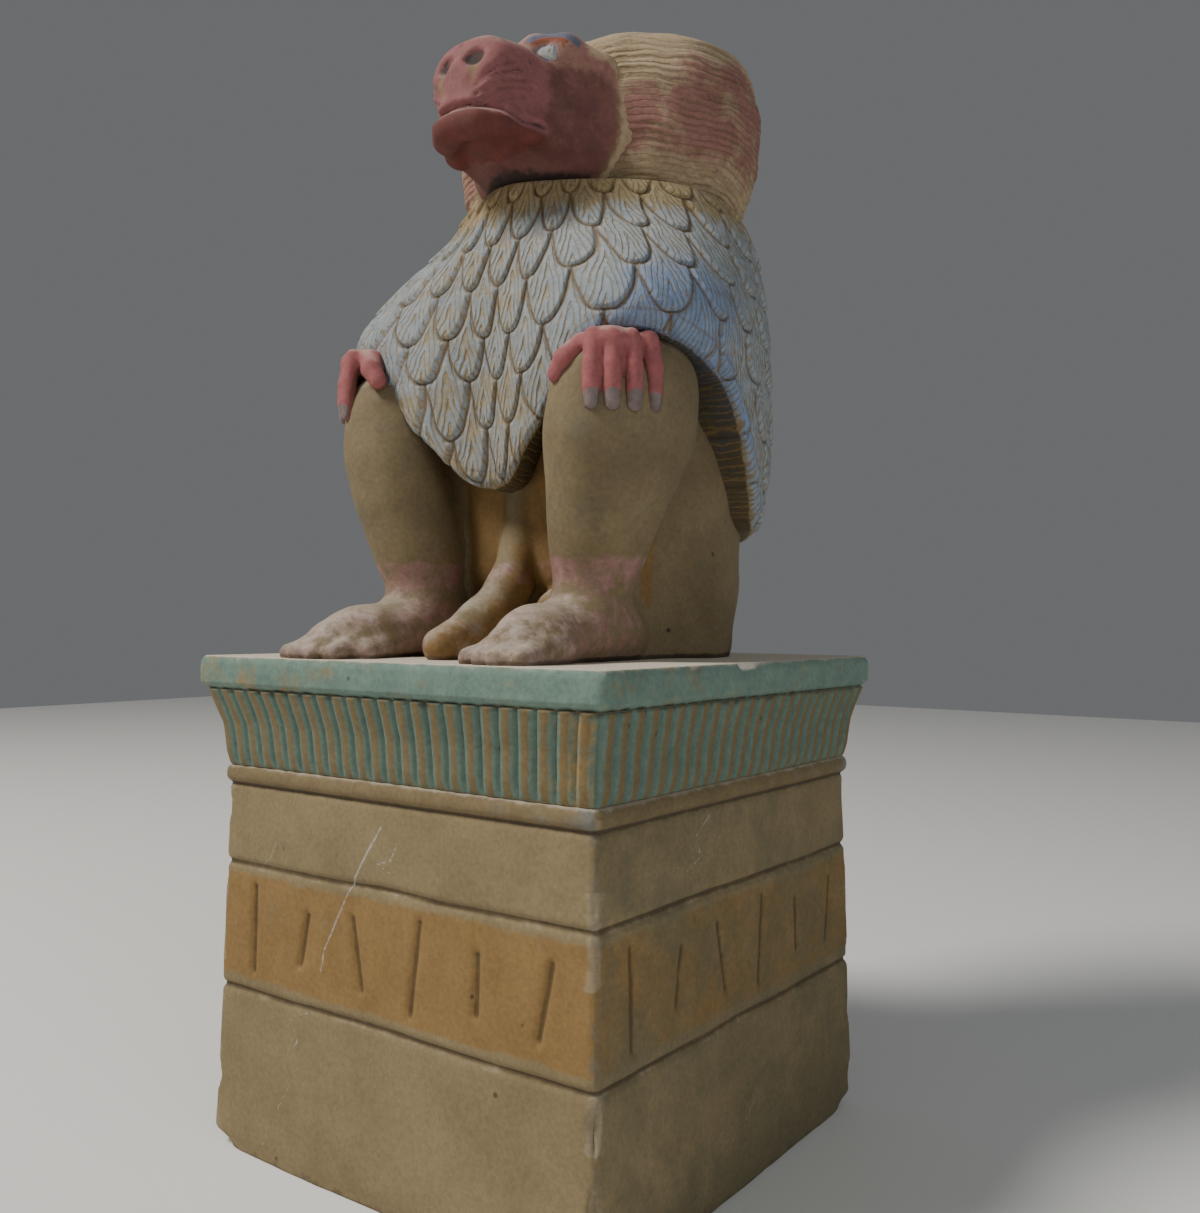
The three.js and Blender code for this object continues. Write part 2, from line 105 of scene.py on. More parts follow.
def along(value, places, values):
    """A smooth curve through values at places"""
    places, values = np.array(places, float), np.array(values, float)
    slopes = np.gradient(values, places)
    at = np.clip(np.searchsorted(places, value) - 1, 0, len(places) - 2)
    gap = places[at + 1] - places[at]
    t = np.clip((value - places[at]) / gap, 0, 1)
    return ((2 * t**3 - 3 * t**2 + 1) * values[at] + (t**3 - 2 * t**2 + t) * gap * slopes[at]
            + (3 * t**2 - 2 * t**3) * values[at + 1] + (t**3 - t**2) * gap * slopes[at + 1])


def joined(first, second, soft):
    near = np.maximum(soft - np.abs(first - second), 0) / soft
    return np.minimum(first, second) - near * near * soft / 4


def kept_within(first, second, soft):
    return -joined(-first, -second, soft)


def egg(points, centre, half):
    q = points - np.array(centre, float)
    half = np.array(half, float)
    reach = length(q / half)
    return reach * (reach - 1) / np.maximum(length(q / (half * half)), 1e-9)


def rod(points, start, end):
    start, end = np.array(start, float), np.array(end, float)
    run = end[:3] - start[:3]
    share = np.clip(((points - start[:3]) @ run) / (run @ run), 0, 1)
    return length(points - start[:3] - share[:, None] * run) - (start[3] + (end[3] - start[3]) * share)


def limb(points, stations, soft=5.0, flat=1.0):
    """A rounded limb through stations of x, y, z, radius. flat squashes it upright."""
    squash = np.array([1, 1, flat])
    q = points / squash
    drawn = [(x, y, z / flat, r) for x, y, z, r in stations]
    form = rod(q, drawn[0], drawn[1])
    for start, end in zip(drawn[1:], drawn[2:]):
        form = joined(form, rod(q, start, end), soft)
    return form * min(flat, 1)


def from_line(points, line):
    """How far each point is from a run of straight lines"""
    nearest = np.full(len(points), np.inf)
    for start, end in zip(line, line[1:]):
        nearest = np.minimum(nearest, rod(points, (*start, 0), (*end, 0)))
    return nearest


def grain(points, size, seed):
    """Smooth noise from -1 to 1 with lumps of that size"""
    lattice = np.random.default_rng(seed).uniform(-1, 1, (32, 32, 32))
    cell = np.floor(points / size).astype(int)
    t = points / size - cell
    t = t * t * (3 - 2 * t)
    total = np.zeros(len(points))
    for corner in itertools.product((0, 1), repeat=3):
        weight = np.prod(np.where(np.array(corner, bool), t, 1 - t), axis=-1)
        index = (cell + corner) % 32
        total += weight * lattice[index[:, 0], index[:, 1], index[:, 2]]
    return total


# Meshes

def corners_of(mesh):
    flat = np.empty(len(mesh.vertices) * 3, np.float32)
    mesh.vertices.foreach_get("co", flat)
    return flat.reshape(-1, 3).astype(float)


def set_corners(mesh, points):
    mesh.vertices.foreach_set("co", points.astype(np.float32).ravel())
    mesh.update()


def paint_map(mesh, name, values):
    """Keeps a value for each point, which a material reads by the map's name"""
    layer = mesh.attributes.new(name, "FLOAT", "POINT")
    layer.data.foreach_set("value", np.asarray(values, np.float32))


def piece(name, mesh, node, slot, material, lift):
    """Takes a mesh in millimetres to its place in the frame"""
    set_corners(mesh, (corners_of(mesh) + np.array([0, 0, lift])) * MM)
    mesh.shade_smooth()
    mesh.materials.clear()
    mesh.materials.append(material)
    made = bpy.data.objects.new(name, mesh)
    bpy.context.scene.collection.objects.link(made)
    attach(made, "root")
    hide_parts(node)


def closed(bm, name):
    bmesh.ops.remove_doubles(bm, verts=bm.verts, dist=1e-4)
    bmesh.ops.dissolve_degenerate(bm, edges=bm.edges, dist=1e-5)
    bmesh.ops.recalc_face_normals(bm, faces=bm.faces)
    mesh = bpy.data.meshes.new(name)
    bm.to_mesh(mesh)
    bm.free()
    return mesh


def wrapped(name, columns, rows, place):
    """A grid wrapped into a closed skin. place takes shares round and down to points and paint maps."""
    bm = bmesh.new()
    bmesh.ops.create_grid(bm, x_segments=columns, y_segments=rows, size=0.5)
    draft = bpy.data.meshes.new(name + "_grid")
    bm.to_mesh(draft)
    bm.free()
    shares = corners_of(draft)[:, :2] + 0.5
    points, maps = place(shares[:, 0], 1 - shares[:, 1])
    set_corners(draft, points)
    for label, values in maps.items():
        paint_map(draft, label, values)
    bm = bmesh.new()
    bm.from_mesh(draft)
    bpy.data.meshes.remove(draft)
    return closed(bm, name)


# A rough bead sits every third of a radius. Seven pulls settle a skin, two of them after smoothing.
SEED_STEP = 0.35
PULLS = 7
SMOOTHED_PULLS = (1, 3)
PULL_SHARE = 0.9
LONGEST_PULL = 2
LEAST_SLOPE = 0.7
HEAD_GRID, BODY_GRID, HAND_GRID = 0.55, 0.9, 0.6


def pull_towards(form, points, step=0.2):
    """The move that takes each point towards the form, by its distance over its slope"""
    turned = np.array([[1, -1, -1], [-1, -1, 1], [-1, 1, -1], [1, 1, 1]])
    slope = sum(corner * form(points + corner * step)[:, None] for corner in turned) / (4 * step)
    steep = np.maximum(length(slope), LEAST_SLOPE)
    away = np.clip(form(points) / steep, -LONGEST_PULL, LONGEST_PULL)
    return -slope / steep[:, None] * away[:, None]


def beads(stations):
    """A rough limb of overlapping spheres"""
    bm = bmesh.new()
    for start, end in zip(stations, stations[1:]):
        start, end = np.array(start, float), np.array(end, float)
        steps = max(1, math.ceil(length(end[:3] - start[:3]) / (SEED_STEP * min(start[3], end[3]))))
        for share in np.linspace(0, 1, steps + 1):
            x, y, z, radius = start + (end - start) * share
            bmesh.ops.create_uvsphere(
                bm, u_segments=14, v_segments=9, radius=radius, matrix=Matrix.Translation((x, y, z)))
    return bm


def rough_egg(centre, half):
    bm = bmesh.new()
    bmesh.ops.create_uvsphere(
        bm, u_segments=24, v_segments=16, radius=1,
        matrix=Matrix.Translation(centre) @ Matrix.Diagonal((*half, 1)))
    return bm


def skinned(name, limbs, eggs, grid, form):
    """A remeshed union of rough spheres, pulled on to the form's own surface"""
    whole = bmesh.new()
    for bm in [beads(stations) for stations in limbs] + [rough_egg(*shape) for shape in eggs]:
        draft = bpy.data.meshes.new(name + "_draft")
        bm.to_mesh(draft)
        bm.free()
        whole.from_mesh(draft)
        bpy.data.meshes.remove(draft)
    rough = bpy.data.meshes.new(name + "_rough")
    whole.to_mesh(rough)
    whole.free()
    holder = bpy.data.objects.new(name + "_rough", rough)
    bpy.context.scene.collection.objects.link(holder)
    remesh = holder.modifiers.new("remesh", "REMESH")
    remesh.mode = "VOXEL"
    remesh.voxel_size = grid
    depsgraph = bpy.context.evaluated_depsgraph_get()
    mesh = bpy.data.meshes.new_from_object(holder.evaluated_get(depsgraph))
    bpy.data.objects.remove(holder)
    bpy.data.meshes.remove(rough)
    for pull in range(PULLS):
        if pull in SMOOTHED_PULLS:
            bm = bmesh.new()
            bm.from_mesh(mesh)
            bmesh.ops.smooth_vert(
                bm, verts=bm.verts, factor=0.5, use_axis_x=True, use_axis_y=True, use_axis_z=True)
            bm.to_mesh(mesh)
            bm.free()
        points = corners_of(mesh)
        set_corners(mesh, points + PULL_SHARE * pull_towards(form, points))
    return mesh


def cut_level(mesh, level):
    """Cuts a mesh off flat, just inside the slab"""
    bm = bmesh.new()
    bm.from_mesh(mesh)
    everything = bm.verts[:] + bm.edges[:] + bm.faces[:]
    cut = bmesh.ops.bisect_plane(
        bm, geom=everything, plane_co=(0, 0, level), plane_no=(0, 0, -1), clear_outer=True)
    rim = [edge for edge in cut["geom_cut"] if isinstance(edge, bmesh.types.BMEdge)]
    bmesh.ops.holes_fill(bm, edges=rim, sides=0)
    bm.to_mesh(mesh)
    bm.free()


def both_sides(*limbs):
    return [[(side * x, y, z, r) for x, y, z, r in stations] for stations in limbs for side in (1, -1)]


# Materials

def paint(code):
    """An sRGB hex colour as a linear one"""
    shares = [int(code[at:at + 2], 16) / 255 for at in (1, 3, 5)]
    return (*(s / 12.92 if s <= 0.04045 else ((s + 0.055) / 1.055) ** 2.4 for s in shares), 1)


def add(tree, kind, sockets=None, **settings):
    """Adds a node with its settings, and its sockets linked or set"""
    made = tree.nodes.new(kind)
    for name, value in settings.items():
        setattr(made, name, value)
    for socket, value in (sockets or {}).items():
        if isinstance(value, bpy.types.NodeSocket):
            tree.links.new(value, made.inputs[socket])
        else:
            made.inputs[socket].default_value = value
    return made


PLASTER_IOR = 1.5
CHALKY = 0.82
# Object coordinates are in metres, so a pattern's scale is 1000 over its size in mm
PER_MM = 1000
NOISE, RANGE, MATH, MIX = "ShaderNodeTexNoise", "ShaderNodeMapRange", "ShaderNodeMath", "ShaderNodeMix"
PIT_COLOUR = "#2e2216"
# pale dust and painted top light on upward faces
DUST_AND_TOP_LIGHT_COLOUR = "#d6cbb9"
# Size in mm, detail and roughness of the stains, the lumps and the grain of the cast
BROAD, MIDDLING, FINE = (22, 3.0, 0.6), (5, 3.0, 0.6), (1.1, 4.0, 0.7)
PIT_SPACING = 6.5


def painted_plaster(name, ground, coats=(), lines=(), comb=None, pits=0.35, speckle=0.25,
                    relief=0.18, dust=0.35):
    """Coarse cast plaster under thin matt paint.

    ground is two colours of the bare cast. A coat is (map, light hex, dark hex, strength, patch size),
    worn away in patches where its map is weak. A line is (map of distances, half width, hex, strength).
    comb is (map across the strands in mm, pitch in mm, hex of the grooves, strength).
    """
    material = bpy.data.materials.new(name)
    material.use_nodes = True
    tree = material.node_tree
    tree.nodes.clear()
    spot = add(tree, "ShaderNodeTexCoord").outputs["Object"]
    broad, middling, fine = (
        add(tree, NOISE, {
            "Vector": spot, "Scale": PER_MM / size, "Detail": detail, "Roughness": rough}).outputs[0]
        for size, detail, rough in (BROAD, MIDDLING, FINE))

    # The bare cast, stained in broad patches
    stain = add(tree, RANGE, {0: broad, 1: 0.35, 2: 0.65}).outputs[0]
    colour = add(tree, MIX, {0: stain, 6: paint(ground[0]), 7: paint(ground[1])}, data_type="RGBA").outputs[2]

    # Coats of thin paint, ragged where they are worn
    for label, light, dark, strength, patch in coats:
        coat = add(tree, "ShaderNodeAttribute", attribute_name=label).outputs["Fac"]
        tones = add(tree, NOISE, {"Vector": spot, "Scale": PER_MM / (0.6 * patch), "Detail": 3.0}).outputs[0]
        toned = add(tree, RANGE, {0: tones, 1: 0.3, 2: 0.7}).outputs[0]
        tint = add(tree, MIX, {0: toned, 6: paint(light), 7: paint(dark)}, data_type="RGBA").outputs[2]
        patches = add(tree, NOISE, {
            "Vector": spot, "Scale": PER_MM / patch, "Detail": 5.0, "Roughness": 0.72}).outputs[0]
        worn = add(tree, MATH, {0: coat, 1: patches}, operation="ADD").outputs[0]
        share = add(tree, RANGE, {
            0: worn, 1: 0.8, 2: 1.12, 3: 0, 4: strength}, interpolation_type="SMOOTHSTEP").outputs[0]
        colour = add(tree, MIX, {0: share, 6: colour, 7: tint}, data_type="RGBA").outputs[2]

    # Dust that has settled on whatever faces up, with painted top light: every upward face paler
    facing = add(tree, "ShaderNodeNewGeometry").outputs["Normal"]
    upward = add(tree, "ShaderNodeSeparateXYZ", {0: facing}).outputs[2]
    settled = add(tree, MATH, {0: upward, 1: middling}, operation="ADD").outputs[0]
    dust_and_top_light = add(tree, RANGE, {
        0: settled, 1: 0.95, 2: 1.5, 3: 0, 4: dust}, interpolation_type="SMOOTHSTEP").outputs[0]
    colour = add(tree, MIX, {0: dust_and_top_light, 6: colour, 7: paint(DUST_AND_TOP_LIGHT_COLOUR)}, data_type="RGBA").outputs[2]

    # Cut or scratched lines, wandering a little
    for label, half_width, shade, strength in lines:
        away = add(tree, "ShaderNodeAttribute", attribute_name=label).outputs["Fac"]
        ragged = add(tree, MATH, {
            0: middling, 1: 1.4 * half_width, 2: away}, operation="MULTIPLY_ADD").outputs[0]
        drawn = add(tree, RANGE, {
            0: ragged, 1: 1.1 * half_width, 2: 2.2 * half_width, 3: strength, 4: 0},
            interpolation_type="SMOOTHSTEP").outputs[0]
        colour = add(tree, MIX, {0: drawn, 6: colour, 7: paint(shade)}, data_type="RGBA").outputs[2]

    # Fine combed grooves, wandering and fading
    groove_depth = 0.0
    if comb:
        label, pitch, shade, strength = comb
        across = add(tree, "ShaderNodeAttribute", attribute_name=label).outputs["Fac"]
        wander = add(tree, MATH, {
            0: middling, 1: 1.6 * pitch, 2: across}, operation="MULTIPLY_ADD").outputs[0]
        turned = add(tree, MATH, {0: wander, 1: 2 * math.pi / pitch}, operation="MULTIPLY").outputs[0]
        wave = add(tree, MATH, {0: turned}, operation="SINE").outputs[0]
        faded = add(tree, MATH, {0: middling, 1: 0.9, 2: wave}, operation="MULTIPLY_ADD").outputs[0]
        groove_depth = add(tree, RANGE, {
            0: faded, 1: 0.75, 2: 1.5, 3: 0, 4: 1}, interpolation_type="SMOOTHSTEP").outputs[0]
        share = add(tree, MATH, {0: groove_depth, 1: strength}, operation="MULTIPLY").outputs[0]
        colour = add(tree, MIX, {0: share, 6: colour, 7: paint(shade)}, data_type="RGBA").outputs[2]

    # Speckle of the coarse ground, and open bubbles of the cast
    shade = add(tree, RANGE, {
        0: fine, 1: 0.25, 2: 0.75, 3: 1 - speckle, 4: 1 + 0.6 * speckle}).outputs[0]
    grey = add(tree, "ShaderNodeCombineColor", {0: shade, 1: shade, 2: shade}).outputs[0]
    colour = add(tree, MIX, {
        0: 1.0, 6: colour, 7: grey}, data_type="RGBA", blend_type="MULTIPLY").outputs[2]
    bubbles = add(tree, "ShaderNodeTexVoronoi", {
        "Vector": spot, "Scale": PER_MM / PIT_SPACING, "Randomness": 1.0})
    pick = add(tree, "ShaderNodeSeparateColor", {0: bubbles.outputs["Color"]}).outputs[0]
    few = add(tree, RANGE, {0: pick, 1: 0.84, 2: 0.86}).outputs[0]
    round_hole = add(tree, RANGE, {
        0: bubbles.outputs["Distance"], 1: 0.05, 2: 0.11, 3: 1, 4: 0}).outputs[0]
    holes = add(tree, MATH, {0: few, 1: round_hole}, operation="MULTIPLY").outputs[0]
    dark = add(tree, MATH, {0: holes, 1: pits}, operation="MULTIPLY").outputs[0]
    colour = add(tree, MIX, {0: dark, 6: colour, 7: paint(PIT_COLOUR)}, data_type="RGBA").outputs[2]

    # Relief: lumps and grain, less the pits and the combed grooves
    grains = add(tree, MATH, {0: fine, 1: 0.35}, operation="MULTIPLY").outputs[0]
    ground_level = add(tree, MATH, {0: middling, 1: 0.65, 2: grains}, operation="MULTIPLY_ADD").outputs[0]
    pitted = add(tree, MATH, {0: holes, 1: -1.1, 2: ground_level}, operation="MULTIPLY_ADD").outputs[0]
    height = add(tree, MATH, {0: groove_depth, 1: -0.9, 2: pitted}, operation="MULTIPLY_ADD").outputs[0]
    bump = add(tree, "ShaderNodeBump", {
        "Strength": 1.0, "Distance": relief * MM, "Height": height}).outputs[0]
    skin = add(tree, "ShaderNodeBsdfPrincipled", {
        "Base Color": colour, "Roughness": CHALKY, "IOR": PLASTER_IOR, "Normal": bump})
    add(tree, "ShaderNodeOutputMaterial", {"Surface": skin.outputs[0]})
    return material


# Mantle: a cape of feathers from the mane to a hem that arches over the hands

MANTLE_AXIS_Y = 8
MANTLE_TURNS = [0, 28, 55, 90, 126, 155, 180]
MANTLE_LEVELS = [30, 50, 66, 80, 92, 107, 118]
MANTLE_RADII = [
    [30, 40, 54, 49, 48, 46, 44],
    [32, 41, 54, 51, 50, 47.5, 45],
    [33, 43, 54, 51, 50.5, 48, 46],
    [34, 41, 55, 51, 50, 48, 46],
    [32, 37, 46, 47, 49, 47, 45],
    [28, 28, 31, 39, 46, 46, 44],
    [25, 23, 25, 33, 40, 41, 39],
]
HEM_TURNS = [0, 13, 23, 29, 33, 38, 45, 55, 66, 75, 84, 91, 99, 108, 126, 180]
HEM_LEVELS = [40, 42.3, 49.6, 54.5, 60.5, 67.5, 71, 71.8, 69.5, 66.5, 61.5, 54, 43.5, 35, 31, 30]
FAR_HEM_RISE = 5
HEM_ROOF = 62
COLLAR = 113.5
FEATHERS_AROUND = 24
FEATHER_TOP_LEVEL = 108.8
FEATHER_PITCH = 11.2
FEATHER_ROWS = 8
FEATHER_TONGUE = 10.5
FEATHER_POINT = 2.7
FEATHER_LIFT = 1.0
FEATHER_GROOVE = 0.55
BARB_PITCH = 1.15
BARB_SLANT = 4.5
BARB_RELIEF = 0.14
# How far down the wrapped grid the open skin starts and ends: the neck's cap above, the underside below
COLLAR_SHARE = 0.05
HEM_SHARE = 0.93
# The photograph's side gets the closer columns
CLOSER_BY = 22
CLOSER_AT = 36


def mantle_radius(turn, level):
    columns = np.stack([along(level, MANTLE_LEVELS, [row[c] for row in MANTLE_RADII])
                        for c in range(len(MANTLE_TURNS))], -1)
    turns = np.array(MANTLE_TURNS, float)
    at = np.clip(np.searchsorted(turns, turn) - 1, 0, len(turns) - 2)
    gap = turns[at + 1] - turns[at]
    t = np.clip((turn - turns[at]) / gap, 0, 1)
    slopes = np.zeros_like(columns)
    slopes[:, 1:-1] = (columns[:, 2:] - columns[:, :-2]) / (turns[2:] - turns[:-2])
    row = np.arange(len(turn))
    return ((2 * t**3 - 3 * t**2 + 1) * columns[row, at] + (t**3 - 2 * t**2 + t) * gap * slopes[row, at]
            + (3 * t**2 - 2 * t**3) * columns[row, at + 1] + (t**3 - t**2) * gap * slopes[row, at + 1])


def hem_level(turn):
    return along(np.abs(turn), HEM_TURNS, HEM_LEVELS) + FAR_HEM_RISE * np.exp(-((turn + 54) / 11) ** 2)


def feathers(turn, level, radius):
    """Relief of the carved feathers, how far each point is from a feather's edge, and its barbs"""
    width = math.radians(360 / FEATHERS_AROUND) * radius
    relief = np.zeros(len(turn))
    edge = np.full(len(turn), FAR_AWAY)
    barb, combed = np.zeros(len(turn)), np.zeros(len(turn))
    todo = np.ones(len(turn), bool)
    for row in range(FEATHER_ROWS):
        phase = turn * FEATHERS_AROUND / 360 + (0 if row % 2 else 0.5)
        across = np.abs(phase - np.round(phase)) * 2
        tip = FEATHER_TOP_LEVEL - row * FEATHER_PITCH
        rise = tip + FEATHER_TONGUE * across**FEATHER_POINT
        slope = FEATHER_TONGUE * FEATHER_POINT * across ** (FEATHER_POINT - 1) / (width / 2)
        inside = (level - rise) / np.sqrt(1 + slope**2)
        here = todo & (level >= rise)
        edge = np.where(todo, np.minimum(edge, np.abs(inside)), edge)
        lifted = FEATHER_LIFT * np.exp(-np.maximum(level - rise, 0) / 8) * ease(inside, 0, 1.2)
        relief = np.where(here, lifted, relief)
        slanted = (level - tip) / BARB_SLANT + across * width / 2
        quill = np.exp(-(across * width / 2 / 0.4) ** 2)
        fanned = np.cos(2 * np.pi * slanted / BARB_PITCH) * (1 - 0.4 * across) - 1.2 * quill
        barb = np.where(here, fanned, barb)
        combed = np.where(here, slanted, combed)
        todo &= ~here
    return relief, edge, barb, combed


def mantle_skin(round_share, down):
    # More columns on the side that the photograph shows than behind
    turn = np.degrees(2 * np.pi * round_share)
    start = math.sin(math.radians(CLOSER_AT))
    turn = turn - CLOSER_BY * (np.sin(np.radians(turn - CLOSER_AT)) + start)
    wrapped_turn = (turn + 180) % 360 - 180
    fold = np.abs(wrapped_turn)
    angle = np.radians(turn)
    hem = hem_level(wrapped_turn)
    cap = np.interp(down, [0, 0.03, COLLAR_SHARE], [COLLAR + 3, COLLAR + 2, COLLAR])
    share = np.clip((down - COLLAR_SHARE) / (HEM_SHARE - COLLAR_SHARE), 0, 1)
    level = np.where(down > COLLAR_SHARE, COLLAR + (hem - COLLAR) * share, cap)
    tuck = np.clip((down - HEM_SHARE) / (1 - HEM_SHARE), 0, 1)
    spot = np.stack([np.sin(angle) * 40, np.cos(angle) * 40, level], -1)
    pattern_turn = wrapped_turn + 2.2 * grain(spot, 15, 3) + 0.7 * grain(spot, 5, 6)
    pattern_level = level + 1.6 * grain(spot, 13, 4) + 0.4 * grain(spot, 4, 7)
    lowest = MANTLE_LEVELS[0]
    radius = mantle_radius(fold, np.clip(level, lowest, COLLAR))
    relief, edge, barb, combed = feathers(pattern_turn, pattern_level, radius)
    groove = np.exp(-(edge / 0.55) ** 2)
    carved = relief - FEATHER_GROOVE * groove + BARB_RELIEF * barb * ease(edge, 0.5, 1.5)
    open_face = ease(down, COLLAR_SHARE, 0.09)
    hem_near = level - hem
    radius = radius + carved * open_face + 0.5 * grain(spot, 26, 5)
    # The hem is rounded, and under it the skin runs in level and then up to a closed roof
    radius = radius - 1.2 * np.exp(-(hem_near / 1.1) ** 2)
    inner = mantle_radius(fold, np.clip(hem, lowest, COLLAR)) - 1.2
    narrowed = np.interp(tuck, [0, 0.1, 0.55, 1], [1, 0.985, 0.72, 0])
    radius = np.where(tuck > 0, inner * narrowed, radius)
    roofed = hem + (HEM_ROOF - hem) * ease(tuck, 0.5, 1) - 0.4 * (tuck > 0.05)
    level = np.where(tuck > 0, roofed, level)
    radius = radius * np.clip(down / COLLAR_SHARE, 0, 1)
    points = np.stack([radius * np.sin(angle), MANTLE_AXIS_Y - radius * np.cos(angle), level], -1)
    inside_hem = ease(tuck, 0.02, 0.12)
    front = ease(-points[:, 1], -10, 35) * (1 - ease(points[:, 0], 10, 34))
    shoulder = np.exp(-((fold - 66) / 36) ** 2) * ease(level, 56, 74) * (1 - ease(level, 98, 108))
    streaks = 0.10 * barb * ease(edge, 0.4, 1.2)
    rim = np.exp(-((hem_near - 1.5) / 2.2) ** 2)
    maps = {
        "blue": np.clip(0.6 - 0.1 * front + 0.3 * shoulder + streaks - inside_hem
                        - 0.35 * ease(level, 100, 112), 0, 1.2),
        "deep_blue": np.clip(0.75 * np.exp(-((wrapped_turn - 66) / 26) ** 2 - ((level - 80) / 13) ** 2)
                             + 0.5 * rim * np.exp(-((wrapped_turn - 75) / 25) ** 2) + 0.3 * rim
                             + 0.5 * streaks, 0, 1),
        "ochre": np.clip(0.22 * front - 0.8 * streaks + 0.45 * ease(level, 98, 112)
                         + 0.3 * ease(fold, 95, 130), 0, 1),
        "edge": np.where((inside_hem > 0.3) | (down < COLLAR_SHARE), FAR_AWAY, edge),
        "combed": combed,
        # painted shade on the underside inside the hem and on the front of the collar under the chin
        "painted_shade": np.clip(0.75 * inside_hem + 0.4 * ease(level, 108, 114) * (1 - ease(fold, 30, 70)), 0, 1),
        "hem": np.where(tuck > 0.1, FAR_AWAY, np.abs(hem_near - 3.6)),
    }
    return points, maps


# Mane: a squared dome of fine combed hair over the shoulders

MANE_CENTRE = (0, 23, 133)
MANE_HALF = (41.5, 28.5, 26)
MANE_SQUARENESS = 2.5
MANE_FLOOR = 111
MANE_UNDERCUT = 0.8
LOBE_DROP = 5
MANE_RISE = 0.06
MANE_CROWN = 3.2
MANE_DRAWN_IN = 0.07
RUFF = 2
HAIR_PITCH = 1.9
HAIR_RELIEF = 0.2
STRAND_LENGTH = 8
# Below this share of the wrapped grid the skin closes underneath
MANE_SHARE = 0.88


def mane_skin(round_share, down):
    angle = 2 * np.pi * round_share
    cx, cy, cz = MANE_CENTRE
    half_width, half_depth, half_height = MANE_HALF
    dip = MANE_UNDERCUT * (cz - MANE_FLOOR) / half_height
    last = 90 + math.degrees(math.asin(dip ** (MANE_CROWN / 2)))
    polar = np.radians(np.interp(down, [0, 0.1, MANE_SHARE, 1], [0.01, 22, last, last]))
    power = 2 / MANE_CROWN
    rise = np.abs(np.cos(polar)) ** power * np.sign(np.cos(polar))
    swell = np.sin(polar) ** power
    level = cz + np.where(rise > 0, rise * half_height, rise * half_height / MANE_UNDERCUT)
    squared = (np.abs(np.sin(angle)) ** MANE_SQUARENESS
               + np.abs(np.cos(angle)) ** MANE_SQUARENESS) ** (-1 / MANE_SQUARENESS)
    under = ease(down, MANE_SHARE, 1.0)
    x = cx + half_width * swell * squared * np.sin(angle) * (1 - under)
    y = cy - half_depth * swell * squared * np.cos(angle) * (1 - under)
    drop = LOBE_DROP * np.maximum(0, np.sin(angle) ** 2 * np.cos(angle))
    level = level - drop * ease(-level, -MANE_FLOOR - 12, -MANE_FLOOR)
    level = level + MANE_RISE * (y - cy) * ease(level, cz - 8, cz + 20)
    x = x * (1 - MANE_DRAWN_IN * ease(cz - level, 2, 20))
    # The hair stands forward round the cheeks like a ruff
    ruff = np.exp(-(x / 27) ** 2) * np.exp(-((level - 131) / 17) ** 2) * np.maximum(np.cos(angle), 0)
    y = y - RUFF * ruff * (1 - under)
    points = np.stack([x, y, level], -1)
    comb = level + 1.3 * grain(points, 16, 11) + 0.7 * grain(points, 6, 12) + 0.5 * np.sin(angle * 7 + 0.5)
    strands = np.stack([angle * 40 / STRAND_LENGTH, np.zeros_like(comb), comb / 1.1], -1)
    hair = 0.55 * np.cos(2 * np.pi * comb / HAIR_PITCH) + 0.9 * grain(strands, 1, 15)
    outward = np.stack([np.sin(angle) * swell, -np.cos(angle) * swell, rise], -1)
    relief = HAIR_RELIEF * hair + 0.5 * grain(strands / 3.1, 1, 14) + 0.4 * grain(points, 9, 13)
    points = points + outward * (relief * (1 - under))[:, None]
    front = ease(-y, -24, 4)
    side = ease(x, 30, 41) * ease(level, 112, 126) * (1 - ease(level, 143, 152))
    maps = {
        "pink": np.clip(0.22 + 0.36 * front * np.exp(-((level - 128) / 11) ** 2) + 0.36 * side
                        + 0.12 * grain(points, 7, 16) + 0.06 * hair, 0, 1),
        "hair": np.clip(0.25 - 0.4 * hair, 0, 1),
        "combed": comb,
        "olive": np.clip(0.5 * ease(-level, -122, -111)
                         + 0.5 * np.exp(-((np.abs(x) - 22) / 5) ** 2) * front, 0, 1),
        # painted shade on the mane's underside and its lowest hair
        "painted_shade": np.clip(ease(down, 0.86, 0.9) + 0.35 * ease(-level, -116, -109), 0, 1),
    }
    return points, maps


# Head: a long squared muzzle with a heavy lower lip

# Each station is y, half width, lowest and highest level
MUZZLE = np.array([
    [-35, 8.4, 123.6, 138.5], [-32.5, 10.6, 122.6, 142.2], [-28, 12.4, 121, 143.6], [-20, 14.2, 116.2, 144.8],
    [-12, 17.6, 110.4, 146.5], [0, 27, 106.5, 148.5], [12, 31, 108, 148]])
MUZZLE_SQUARENESS = 2.7
JAW_SQUARENESS = 1.75
MUZZLE_END = -36.2
MUZZLE_BACK = 14
SKULL = ((0, -1, 138), (19.5, 16, 12))
BROW = [(1.5, -16, 142.8, 2.6), (7, -15.5, 144.9, 2.8), (13, -11.5, 144.9, 2.9), (18.5, -5, 142, 3)]
LOWER_LIP = [(13.6, -14, 121.6, 1.8), (12, -22, 122, 2.2), (8.9, -29.4, 122.5, 2.4), (4.8, -33, 122.2, 2.8),
             (0, -33.8, 122, 3)]
# Cut lines lie on the skin that the photograph shows, and go in towards the face's core
MOUTH = [(0, -36.8, 125.5), (3.4, -36.9, 125), (5.4, -36.7, 124.7), (8.7, -33.7, 124.8), (10.2, -32.1, 124.6),
         (11.7, -31, 123.7), (12.9, -27.6, 122.9), (13.9, -25.1, 122.3), (15, -22, 122)]
MOUTH_DEPTH = 1.5
